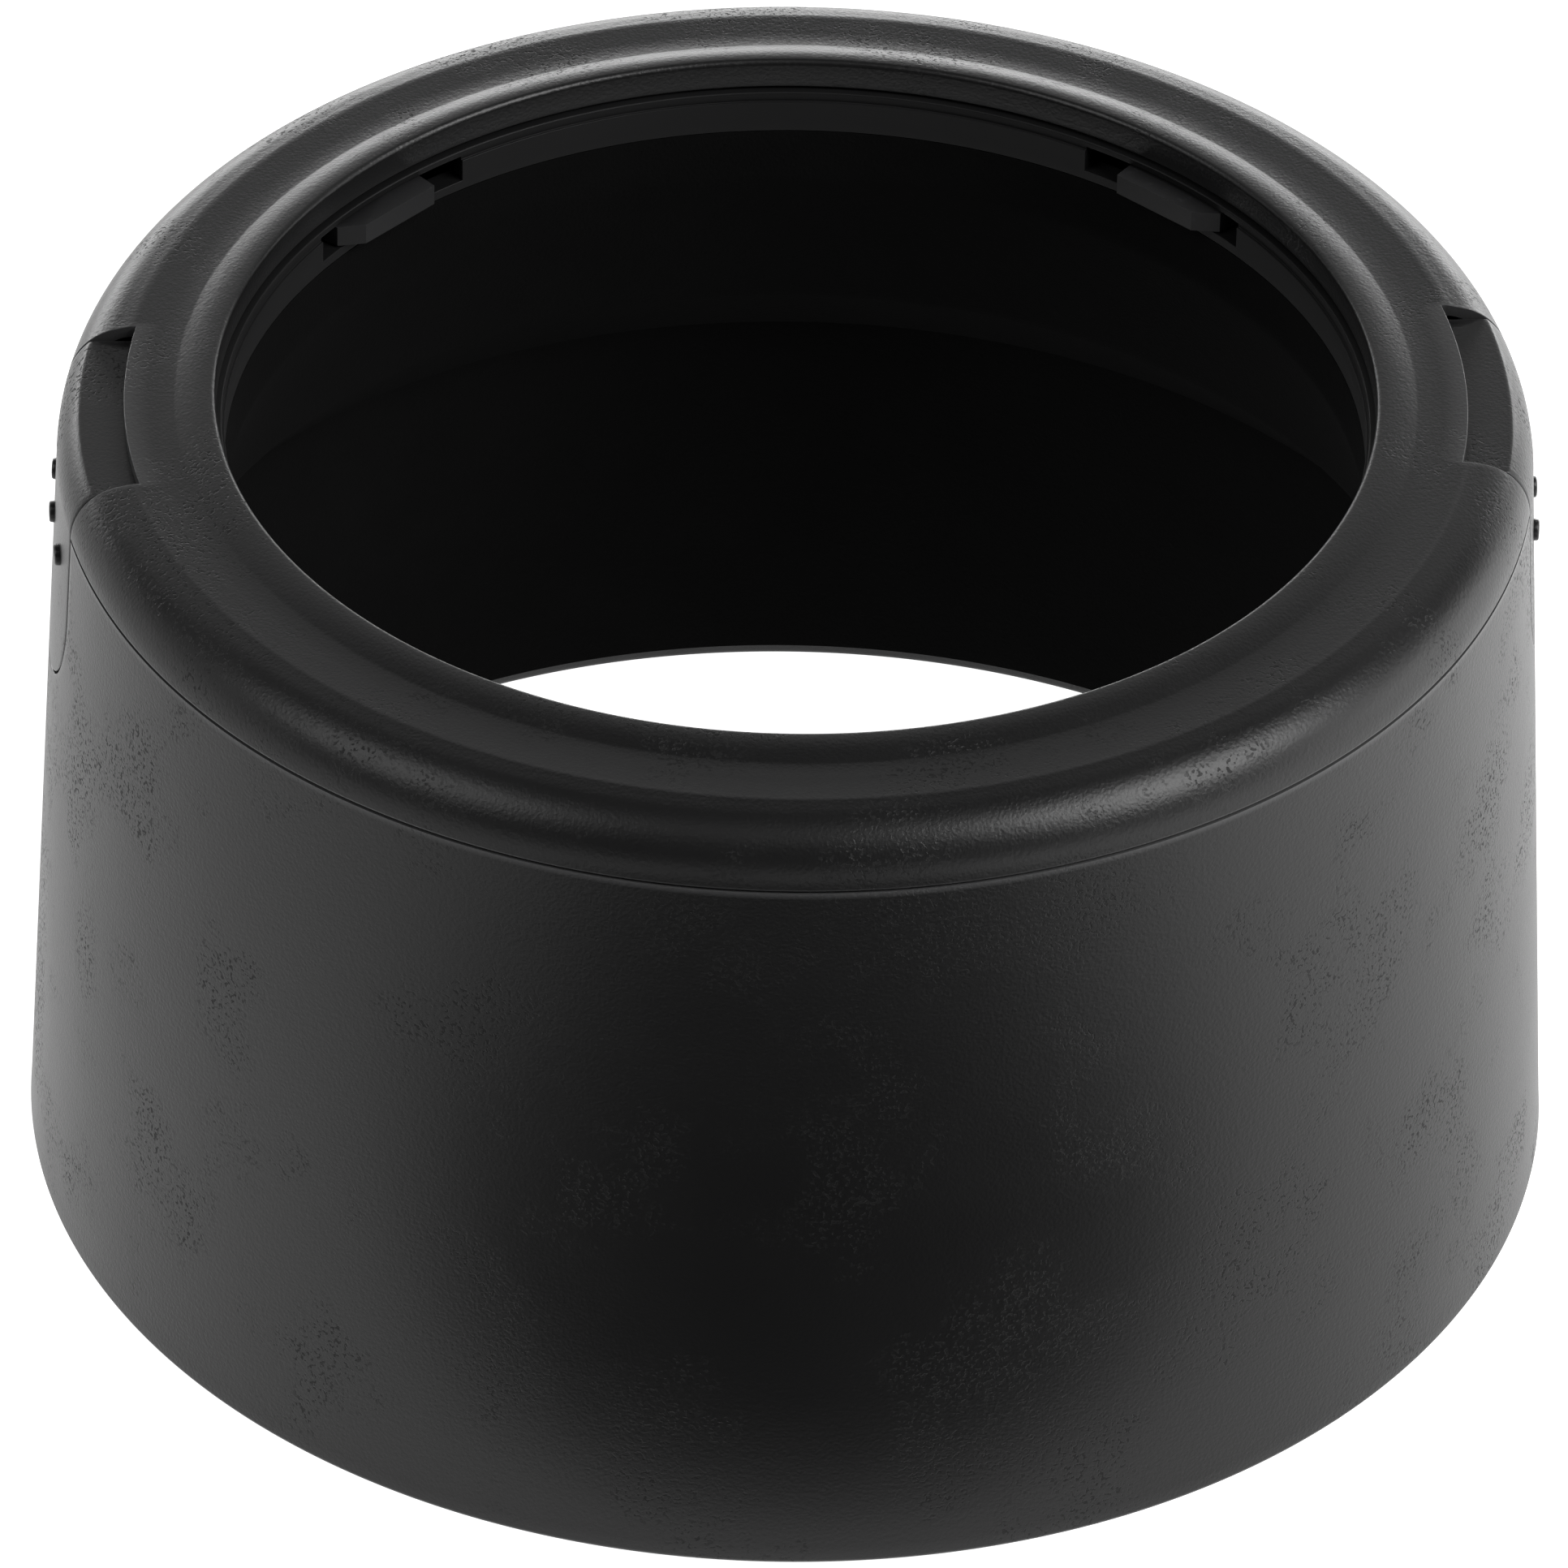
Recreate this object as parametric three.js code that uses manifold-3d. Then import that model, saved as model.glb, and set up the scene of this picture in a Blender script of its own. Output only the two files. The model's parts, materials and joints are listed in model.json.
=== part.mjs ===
// Clip-on lens hood with two push-button releases.
// Millimetres. The origin is the centre of the front rim, which the hood stands on. +Z runs along the
// optical axis to the mount end, and the two buttons lie on +X and -X.
//
// Each button pushes a C-shaped yoke that reaches round the bore, inside the wall, to two claws on the far
// side. Pressing both buttons draws all four claws out of the bore, and coil springs push them back.

import * as THREE from "three";
import { mergeVertices } from "three/addons/utils/BufferGeometryUtils.js";
import Module from "manifold-3d";

const wasm = await Module();
wasm.setup();

// ---------------------------------------------------------------- driving dimensions

// Overall
const sleeveRadius = 32.75; // bore that slips over the lens's front ring
const faceHeight = 50.1; // front rim to the flat face of the cap
const taper = 2.2; // how much wider the front rim is than the seam
const barrelWall = 1.4;
const rimRound = 0.35;

// Mount cap, from the bore outwards
const lipStep = 0.5; // the lip's bore is wider than the sleeve
const beadWidth = 2.45;
const beadRise = 0.5;
const beadCrest = 0.3; // share of the bead's width where it is highest
const flatWidth = 3.1;
const shoulderWidth = 3.6;
const shoulderDepth = 3.86; // flat face down to the seam
const capPlate = 0.8;
const capWall = 1.3;
const lipDepth = 1.35; // flat face down to the underside of the lip
const tongueWall = 0.8;
const tongueHalfAngle = 33; // each tongue spans this much either side of the Y axis
const snapRise = 0.3;
const snapOffset = 1; // from a tongue's end up to its snap
const edgeBreak = 0.15;

// Claw ring
const ledgeDepth = 1.5; // flat face down to the lens seat
const ledgeStep = 0.15; // the sleeve's mouth is wider than its bore
const mouthDepth = 2.1;
const sleeveWall = 1.35;
const sleeveBottom = 4.15; // where the lining takes over from the plain sleeve
const flangeWall = 1.2;
const guideHalf = 2; // half width of a block that guides the yokes
const springSeatWall = 0.6; // how far a spring seat stands out from the sleeve
const pegRadius = 0.5; // the pegs that hold the springs on their seats
const pegLength = 0.9;

// Claws and yokes
const clawAngle = 46; // middle of a claw's edge, from the button axis
const clawEdgeFrom = 40.5;
const clawEdgeTo = 50.8;
const clawRootFrom = 38.3;
const clawReach = 1.15; // how far the edge stands into the bore
const clawTop = 2.05; // below the flat face
const clawWall = 1.3;
const windowFrom = 35.5;
const windowTo = 56;
const windowGap = 0.15; // above and below a claw
const yokeWall = 2; // height of a yoke's band
const yokeEnd = 34; // the band stops this far from the axis of the other button
const padHalf = 6.2; // half width of a yoke's pad behind its button
const padReach = 2.5; // from the outside of the band in to the pad's inner face
const padWall = 1.4;
const springSlotDepth = 1; // in the pad
const travel = 1.8; // how far a button presses in

// Buttons
const buttonWidth = 15.6; // width of the cut-out
const buttonArcDepth = 9.35; // flat face down to the centre of the cut-out's round end
const buttonDrop = 0.9; // flat face down to the top of the button
const cutoutStep = 0.3; // the cut-out starts this far inside the cap's shoulder
const buttonLip = 0.8; // how far the retaining flange reaches past the cut-out
const flangeTop = 8; // flat face down to the top of that flange
const skirtWall = 1; // wall of that flange
const plateWall = 1.05;
const plateLap = 1; // how far the button's plate reaches under the cap
const pipDepth = 7.45;
const pipRadius = 0.64;
const pipRise = 0.3;
const pipTop = 0.85; // share of a pip's width that is left at its top
const pipRoot = 0.7; // how far a pip is sunk in the button's wall
const pipPitch = 5.7; // degrees

// Lining, springs and screws
const liningWall = 0.4;
const flareDepth = 5.4; // height of the step from the inner cone to the barrel wall
const innerConeWall = 1.15;
const flareWall = 1.5; // height of the wall where the inner cone meets the barrel
const springRadius = 0.95;
const springWire = 0.15; // radius
const springTurns = 5;
const springOffset = 4.5; // from the middle of the button
const screwAngle = 20; // from the Y axis
const screwRadius = 0.75;
const screwHead = 1.3;
const screwHeadWall = 0.9;
const screwTip = 2.2; // flat face down to the end of a cap screw
const buttonScrewRadius = 0.55;
const buttonScrewHead = 1;
const buttonScrewHeadWall = 0.75;

// Clearances
const seatGap = 0.05; // pieces that rest on each other
const fitGap = 0.15; // pieces that slide past each other or lie in a cut-out
const runGap = 0.25; // pieces that pass each other at full travel

const roundSteps = 72; // facets in a full turn of the large pieces
const smallSteps = 16; // facets in a full turn of a screw or a pip
const curveSteps = 8; // facets in a fillet or a claw's arc
const wireSides = 6;
const coilSteps = 10; // facets in one turn of a spring
const overrun = 2; // how far a cutter passes the faces it cuts

// ---------------------------------------------------------------- derived radii and depths

const lipRadius = sleeveRadius + lipStep;
const flatInner = lipRadius + beadWidth;
const flatOuter = flatInner + flatWidth;
const seamRadius = flatOuter + shoulderWidth;
const rimRadius = seamRadius + taper;
const seamHeight = faceHeight - shoulderDepth;

const sleeveOuter = sleeveRadius + sleeveWall;
const liningRecess = sleeveRadius + liningWall + seatGap;
const barrelTopDepth = shoulderDepth + seatGap * 2;
const barrelTopInner = seamRadius - barrelWall;

const upperBandTop = clawTop;
const lowerBandTop = upperBandTop + yokeWall + fitGap;
const flangeDepth = lowerBandTop + yokeWall + fitGap;
const flangeBottom = flangeDepth + flangeWall;
const tongueDepth = flangeDepth - fitGap; // the snap tongues end above the flange
const snapDepth = tongueDepth - snapOffset;

// A yoke rests half its travel towards its button, and ends half its travel past the middle.
const yokeShift = travel / 2;
const bandOuter = barrelTopInner - yokeShift - barrelWall / 2;
const postInner = sleeveOuter + fitGap * 2;
// A post moves out by the travel while the other yoke's band comes in by half of it, and the wall that is
// left is shared between them.
const sweep = (travel + yokeShift) * Math.cos(rad(clawRootFrom)) + runGap;
const bandWall = (bandOuter - postInner - sweep) / 2;
const bandInner = bandOuter - bandWall;
const postOuter = postInner + bandWall;

const cutoutRadius = flatOuter - cutoutStep;
const cutoutHalf = buttonWidth / 2;
const buttonHalf = cutoutHalf - fitGap;
const buttonWall = barrelWall + fitGap * 2;
const buttonBottom = buttonArcDepth + cutoutHalf;

const padInner = bandOuter + yokeShift - padReach;
const padOuter = padInner + padWall;
const springSlotHalf = springRadius + fitGap;
const springSeat = sleeveOuter + springSeatWall;
const springStart = springSeat + seatGap;
const springEnd = padInner + springSlotDepth - seatGap;

const screwCircle = (sleeveOuter + bandInner) / 2;
const bossRadius = (bandInner - sleeveOuter) / 2 - yokeShift * Math.sin(rad(screwAngle)) - fitGap;

const chamberDepth = buttonBottom + buttonLip + runGap * 2;
// The inner cone clears the button's retaining flange when the button is pressed.
const coneOuterEnd = innerWall(at(chamberDepth)) - skirtWall - travel - fitGap * 4;
const coneInnerEnd = coneOuterEnd - innerConeWall;
const flareEnd = chamberDepth + flareDepth;

// ---------------------------------------------------------------- helpers

function rad(degrees) {
  return (degrees * Math.PI) / 180;
}

// Height of a point that lies this far below the cap's flat face.
function at(depth) {
  return faceHeight - depth;
}

// Radius of the barrel's outer cone at a height, and of its inner face.
function outerWall(z) {
  return seamRadius + (taper * (seamHeight - z)) / seamHeight;
}

function innerWall(z) {
  return outerWall(z) - barrelWall;
}

function polar(radius, degrees, centreX = 0) {
  return new THREE.Vector2(centreX + radius * Math.cos(rad(degrees)), radius * Math.sin(rad(degrees)));
}

function arc(radius, from, to, steps, centreX = 0) {
  const points = [];
  for (let i = 0; i <= steps; i += 1) {
    points.push(polar(radius, from + ((to - from) * i) / steps, centreX));
  }
  return points;
}

// A point of the cap's shoulder, a quarter ellipse from the flat (share 0) to the seam (share 1), as
// [radius, height].
function shoulder(width, depth, share) {
  const turn = (share * Math.PI) / 2;
  return [flatOuter + width * Math.sin(turn), seamHeight + depth * Math.cos(turn)];
}

function shoulderArc(width, depth, from, to, steps) {
  const points = [];
  for (let i = 0; i <= steps; i += 1) {
    points.push(shoulder(width, depth, from + ((to - from) * i) / steps));
  }
  return points;
}

// A closed three.js geometry as a solid with its faces pointing out.
function solid(geometry) {
  geometry.deleteAttribute("normal");
  geometry.deleteAttribute("uv");
  const merged = mergeVertices(geometry, 1e-4);
  const position = merged.attributes.position.array;
  const index = Array.from(merged.index.array);
  const triangles = [];
  let volume = 0;
  for (let i = 0; i < index.length; i += 3) {
    const corners = index.slice(i, i + 3);
    if (new Set(corners).size === 3) {
      triangles.push(...corners);
      const [a, b, c] = corners.map((k) => new THREE.Vector3().fromArray(position, 3 * k));
      volume += a.dot(b.cross(c));
    }
  }
  if (volume < 0) triangles.reverse();
  return new wasm.Manifold(
    new wasm.Mesh({ numProp: 3, vertProperties: position, triVerts: new Uint32Array(triangles) }),
  );
}

// A closed outline of [radius, height] points turned about the Z axis.
function ring(points, steps = roundSteps) {
  const outline = [...points, points[0]].map(([r, z]) => new THREE.Vector2(r, z));
  return solid(new THREE.LatheGeometry(outline, steps).rotateX(Math.PI / 2));
}

// A tube wall that follows a line of [radius, height] points, with its thickness towards the axis.
function skin(points, wall) {
  const line = points.map(([r, z]) => new THREE.Vector2(r, z));
  const normals = line.slice(1).map((p, i) => {
    const along = p.clone().sub(line[i]).normalize();
    return new THREE.Vector2(along.y, -along.x);
  });
  const inner = line.map((p, i) => {
    const before = normals[Math.max(i - 1, 0)];
    const after = normals[Math.min(i, normals.length - 1)];
    const mitre = before.clone().add(after).normalize();
    return p.clone().addScaledVector(mitre, wall / mitre.dot(after));
  });
  return ring([...line, ...inner.reverse()].map((p) => [p.x, p.y]));
}

// An outline in plan, extruded between two depths below the flat face.
function prism(points, topDepth, bottomDepth) {
  const options = { depth: bottomDepth - topDepth, bevelEnabled: false, curveSegments: smallSteps };
  const shape = new THREE.Shape(points);
  return solid(new THREE.ExtrudeGeometry(shape, options).translate(0, 0, at(bottomDepth)));
}

// An outline of [y, z] points, extruded along X.
function bar(points, fromX, toX) {
  const shape = new THREE.Shape(points.map(([y, z]) => new THREE.Vector2(y, z)));
  const geometry = new THREE.ExtrudeGeometry(shape, { depth: toX - fromX, bevelEnabled: false });
  const yAxis = new THREE.Vector3(0, 1, 0);
  const zAxis = new THREE.Vector3(0, 0, 1);
  const xAxis = new THREE.Vector3(1, 0, 0);
  geometry.applyMatrix4(new THREE.Matrix4().makeBasis(yAxis, zAxis, xAxis));
  return solid(geometry.translate(fromX, 0, 0));
}

function box(fromX, toX, fromY, toY, topDepth, bottomDepth) {
  const geometry = new THREE.BoxGeometry(toX - fromX, toY - fromY, bottomDepth - topDepth);
  const middle = at((topDepth + bottomDepth) / 2);
  return solid(geometry.translate((fromX + toX) / 2, (fromY + toY) / 2, middle));
}

// A post along Z whose centre is at a point in plan.
function post(radius, centre, topDepth, bottomDepth) {
  const geometry = new THREE.CylinderGeometry(radius, radius, bottomDepth - topDepth, smallSteps);
  geometry.rotateX(Math.PI / 2);
  return solid(geometry.translate(centre.x, centre.y, at((topDepth + bottomDepth) / 2)));
}

// A pin along X.
function pin(radius, fromX, toX, y, depth) {
  const geometry = new THREE.CylinderGeometry(radius, radius, toX - fromX, smallSteps);
  geometry.rotateZ(Math.PI / 2);
  return solid(geometry.translate((fromX + toX) / 2, y, at(depth)));
}

function joined(solids) {
  return solids.reduce((whole, next) => whole.add(next));
}

function cut(whole, cutters) {
  return cutters.reduce((rest, cutter) => rest.subtract(cutter), whole);
}

// The same outline or solid on both sides of the button axis, or at both ends of it.
function mirrored(points) {
  return points.map((p) => new THREE.Vector2(p.x, -p.y)).reverse();
}

function opposite(points) {
  return points.map((p) => new THREE.Vector2(-p.x, -p.y));
}

// A solid as a three.js geometry.
function geometryOf(shape) {
  const mesh = shape.getMesh();
  const geometry = new THREE.BufferGeometry();
  geometry.setAttribute("position", new THREE.BufferAttribute(mesh.vertProperties, 3));
  geometry.setIndex(new THREE.BufferAttribute(mesh.triVerts, 1));
  return geometry;
}

const hood = new THREE.Group();

function addPiece(name, shape, material, turn = 0) {
  const geometry = geometryOf(shape);
  geometry.computeVertexNormals();
  const piece = new THREE.Mesh(geometry, new THREE.MeshStandardMaterial(material));
  piece.name = name;
  piece.rotation.z = turn;
  hood.add(piece);
}

// ---------------------------------------------------------------- materials

const grainedPlastic = { color: 0x242425, roughness: 0.5, metalness: 0 };
const plainPlastic = { color: 0x1b1b1c, roughness: 0.6, metalness: 0 };
const yokePlastic = { color: 0x2c2c2e, roughness: 0.45, metalness: 0 };
const flock = { color: 0x080808, roughness: 1, metalness: 0 };
const steel = { color: 0xb4b6b8, roughness: 0.3, metalness: 1 };
const blackSteel = { color: 0x2b2b2d, roughness: 0.4, metalness: 1 };

// ---------------------------------------------------------------- shared outlines

// The button's outline seen along X: straight sides and a round lower end.
function buttonOutline(half, topDepth) {
  const points = [
    [half, at(topDepth)],
    [-half, at(topDepth)],
  ];
  for (let i = 0; i <= smallSteps; i += 1) {
    const turn = Math.PI + (Math.PI * i) / smallSteps;
    points.push([half * Math.cos(turn), at(buttonArcDepth) + half * Math.sin(turn)]);
  }
  return points;
}

// The four screws lie either side of the Y axis at both ends of it.
const screwCentres = [90 - screwAngle, 90 + screwAngle, 270 - screwAngle, 270 + screwAngle].map((angle) =>
  polar(screwCircle, angle),
);

// ---------------------------------------------------------------- barrel

// The outer cone and the inner cone are one moulding. The chamber between them is open at the top and
// takes the release mechanism.
function makeBarrel() {
  const topEdge = at(barrelTopDepth);
  const snapTop = at(snapDepth - snapRise * 2);
  const snapBottom = at(snapDepth + snapRise * 2);
  const grooveRadius = barrelTopInner + snapRise + fitGap;
  const rimInner = rimRadius - barrelWall;
  const body = ring([
    [rimRadius - rimRound, 0],
    [rimRadius, rimRound],
    [outerWall(topEdge - edgeBreak), topEdge - edgeBreak],
    [seamRadius - edgeBreak, topEdge],
    [barrelTopInner, topEdge],
    [innerWall(snapTop), snapTop],
    [grooveRadius, at(snapDepth - snapRise)],
    [grooveRadius, at(snapDepth + snapRise)],
    [innerWall(snapBottom), snapBottom],
    [innerWall(at(flareEnd - flareWall)), at(flareEnd - flareWall)],
    [coneOuterEnd, at(chamberDepth)],
    [liningRecess + innerConeWall, at(flangeBottom + seatGap)],
    [liningRecess, at(flangeBottom + seatGap)],
    [coneInnerEnd, at(chamberDepth)],
    [innerWall(at(flareEnd)), at(flareEnd)],
    [rimInner, rimRound],
    [rimInner + rimRound, 0],
  ]);
  const slot = buttonOutline(cutoutHalf, 0);
  const inside = barrelTopInner - barrelWall * 2;
  const outside = rimRadius + overrun;
  return cut(body, [bar(slot, inside, outside), bar(slot, -outside, -inside)]);
}

// ---------------------------------------------------------------- mount cap

function makeCap() {
  const beadSteps = 6;
  const bead = [];
  for (let i = 0; i <= beadSteps; i += 1) {
    const share = i / beadSteps;
    const swell = (beadRise * (1 + Math.cos(Math.PI * share))) / 2;
    bead.push([lipRadius + beadWidth * (beadCrest + (1 - beadCrest) * share), faceHeight + swell]);
  }
  const seamShare = 0.96; // where the shoulder's curve gives way to the edge at the seam
  const shell = ring([
    [lipRadius, at(lipDepth)],
    [lipRadius, faceHeight + beadRise - edgeBreak],
    [lipRadius + edgeBreak, faceHeight + beadRise - edgeBreak / 3],
    ...bead,
    ...shoulderArc(shoulderWidth, shoulderDepth, 0, seamShare, curveSteps),
    [seamRadius, seamHeight + edgeBreak],
    [seamRadius - edgeBreak, seamHeight],
    ...shoulderArc(shoulderWidth - capWall, shoulderDepth - capPlate, 1, 0, curveSteps),
    [sleeveOuter, at(capPlate)],
    [sleeveOuter, at(lipDepth)],
  ]);

  // Two snap tongues hang inside the barrel, on the Y axis.
  const tongueOuter = barrelTopInner - fitGap;
  const tongueInner = tongueOuter - tongueWall;
  const tongueRing = ring([
    [tongueInner, at(tongueDepth)],
    [tongueOuter, at(tongueDepth)],
    [tongueOuter, at(snapDepth + snapRise)],
    [tongueOuter + snapRise, at(snapDepth)],
    [tongueOuter, at(snapDepth - snapRise)],
    [tongueOuter, seamHeight],
    [barrelTopInner + capWall / 3, seamHeight + edgeBreak * 2],
    [barrelTopInner + capWall / 3, seamHeight + shoulderDepth / 3],
    [tongueInner, at(capPlate + capWall / 4)],
  ]);
  const reach = rimRadius + overrun;
  const clear = barrelTopInner * Math.cos(rad(tongueHalfAngle));
  const tongues = cut(tongueRing, [box(-reach, reach, -clear, clear, -overrun, tongueDepth + overrun)]);

  const bosses = screwCentres.map((centre) => post(bossRadius, centre, capPlate / 2, flangeDepth - seatGap));
  const holes = screwCentres.map((centre) =>
    post(screwRadius + fitGap, centre, screwTip - fitGap * 2, flangeDepth + overrun),
  );

  const sideBand = ring([
    [cutoutRadius, at(-overrun)],
    [cutoutRadius, at(tongueDepth)],
    [reach, at(tongueDepth)],
    [reach, at(-overrun)],
  ]);
  const wide = reach + overrun;
  const across = box(-wide, wide, -cutoutHalf, cutoutHalf, -overrun * 2, tongueDepth + overrun);
  return cut(joined([shell, tongues, ...bosses]), [...holes, sideBand.intersect(across)]);
}

// ---------------------------------------------------------------- claw ring

// The sleeve that locates the lens, with a window for each claw and a flange that carries the yokes.
function makeClawRing() {
  const flangeRadius = barrelTopInner - fitGap * 3;
  const seatOuter = lipRadius - fitGap; // the ledge steps down before it passes under the lip
  const body = ring([
    [sleeveRadius + ledgeStep, at(ledgeDepth)],
    [seatOuter, at(ledgeDepth)],
    [seatOuter, at(ledgeDepth + seatGap * 2)],
    [sleeveOuter, at(ledgeDepth + seatGap * 2)],
    [sleeveOuter, at(flangeDepth)],
    [flangeRadius, at(flangeDepth)],
    [flangeRadius, at(flangeBottom)],
    [liningRecess, at(flangeBottom)],
    [liningRecess, at(sleeveBottom - seatGap)],
    [sleeveRadius, at(sleeveBottom - seatGap)],
    [sleeveRadius, at(mouthDepth)],
    [sleeveRadius + ledgeStep, at(mouthDepth)],
  ]);

  // Blocks on the Y axis keep the yokes from moving sideways. A block's corner clears the band at both ends
  // of the travel.
  const blockInner = sleeveOuter - sleeveWall / 3;
  const blockOuter = Math.sqrt(bandInner ** 2 - (guideHalf + yokeShift) ** 2) - fitGap;
  const blockBottom = flangeDepth + flangeWall / 2;
  const guides = [
    [blockInner, blockOuter],
    [-blockOuter, -blockInner],
  ].map(([from, to]) => box(-guideHalf, guideHalf, from, to, clawTop, blockBottom));

  // A seat and a peg for each spring, up to the yoke that the button drives. The screw's head passes between
  // the two seats behind its button.
  const seatHalf = padHalf - springOffset;
  const seats = [
    [1, lowerBandTop],
    [-1, upperBandTop],
  ].flatMap(([side, top]) => {
    const near = sleeveOuter - sleeveWall / 2;
    const between = (a, b) => (side > 0 ? [a, b] : [-b, -a]);
    const ends = between(near, springSeat);
    const pegEnds = between(springSeat - pegLength / 2, springSeat + pegLength);
    return [-springOffset, springOffset].flatMap((y) => [
      box(...ends, y - seatHalf, y + seatHalf, top, blockBottom),
      pin(pegRadius, ...pegEnds, y, top + yokeWall / 2),
    ]);
  });

  const windowWall = [
    ...arc(sleeveRadius - overrun, windowFrom, windowTo, curveSteps / 2),
    ...arc(sleeveOuter + overrun, windowTo, windowFrom, curveSteps / 2),
  ];
  const windows = [
    windowWall,
    mirrored(windowWall),
    opposite(windowWall),
    opposite(mirrored(windowWall)),
  ].map((outline) => prism(outline, clawTop - windowGap, clawTop + clawWall + windowGap));

  const holes = screwCentres.map((centre) =>
    post(screwRadius + fitGap, centre, flangeDepth - overrun / 2, flangeBottom + overrun),
  );

  // The flange is notched behind each button, for the button's skirt.
  const notchInner = padOuter - travel - runGap;
  const notchHalf = cutoutHalf + buttonLip + fitGap * 2;
  const reach = flangeRadius + overrun;
  const notches = [
    [notchInner, reach],
    [-reach, -notchInner],
  ].map((ends) => box(...ends, -notchHalf, notchHalf, flangeDepth - overrun / 2, flangeBottom + overrun));
  return cut(joined([cut(body, windows), ...guides, ...seats]), [...holes, ...notches]);
}

// ---------------------------------------------------------------- yokes

// A yoke is drawn for the button on +X: its pad lies behind that button, and its two claws on the far side.
function makeYoke(bandTop) {
  const bandBottom = bandTop + yokeWall;
  const middle = bandTop + yokeWall / 2;
  const turn = 180 - yokeEnd;
  const steps = Math.round((roundSteps * turn) / 180);
  const band = prism(
    [...arc(bandOuter, -turn, turn, steps, yokeShift), ...arc(bandInner, turn, -turn, steps, yokeShift)],
    bandTop,
    bandBottom,
  );
  const pad = box(padInner, bandOuter + yokeShift - bandWall / 2, -padHalf, padHalf, bandTop, bandBottom);

  // Claw, post and foot of one arm, as far from -X as the claw ring's window.
  const edgeRadius = sleeveRadius - clawReach;
  const edgeStart = edgeRadius / Math.cos(rad(clawAngle - clawEdgeFrom));
  const edgeEnd = edgeRadius / Math.cos(rad(clawEdgeTo - clawAngle));
  const claw = [
    polar(edgeStart, 180 - clawEdgeFrom),
    polar(sleeveRadius + ledgeStep, 180 - clawRootFrom),
    polar(postInner + bandWall / 2, 180 - clawRootFrom),
    polar(postInner + bandWall / 2, 180 - clawEdgeTo),
    polar(edgeEnd, 180 - clawEdgeTo),
  ];
  const upright = [
    ...arc(postInner, 180 - clawEdgeTo, 180 - clawRootFrom, curveSteps / 2),
    ...arc(postOuter, 180 - clawRootFrom, 180 - clawEdgeTo, curveSteps / 2),
  ];
  const footReach = bandInner - yokeShift * Math.cos(rad(clawAngle)) + bandWall / 2;
  const foot = [
    ...arc(postInner + bandWall / 2, 180 - clawEdgeTo, 180 - clawRootFrom, curveSteps / 2),
    ...arc(footReach, 180 - clawRootFrom, 180 - clawEdgeTo, curveSteps / 2),
  ];
  const arms = [(points) => points, mirrored].flatMap((side) => [
    prism(side(claw), clawTop, clawTop + clawWall),
    prism(side(upright), capPlate + fitGap, bandBottom),
    prism(side(foot), bandTop, bandBottom),
  ]);

  const slots = [-springOffset, springOffset].map((y) =>
    box(
      padInner - overrun,
      padInner + springSlotDepth,
      y - springSlotHalf,
      y + springSlotHalf,
      bandTop - overrun,
      bandBottom + overrun,
    ),
  );
  const bossSpace = box(
    padOuter,
    padOuter + overrun * 2,
    -buttonScrewHead - fitGap * 3,
    buttonScrewHead + fitGap * 3,
    bandTop - overrun,
    bandBottom + overrun,
  );
  const hole = pin(buttonScrewRadius + fitGap, padInner - overrun, padOuter + overrun, 0, middle);
  return cut(joined([band, pad, ...arms]), [...slots, bossSpace, hole]);
}

// ---------------------------------------------------------------- buttons

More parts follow.
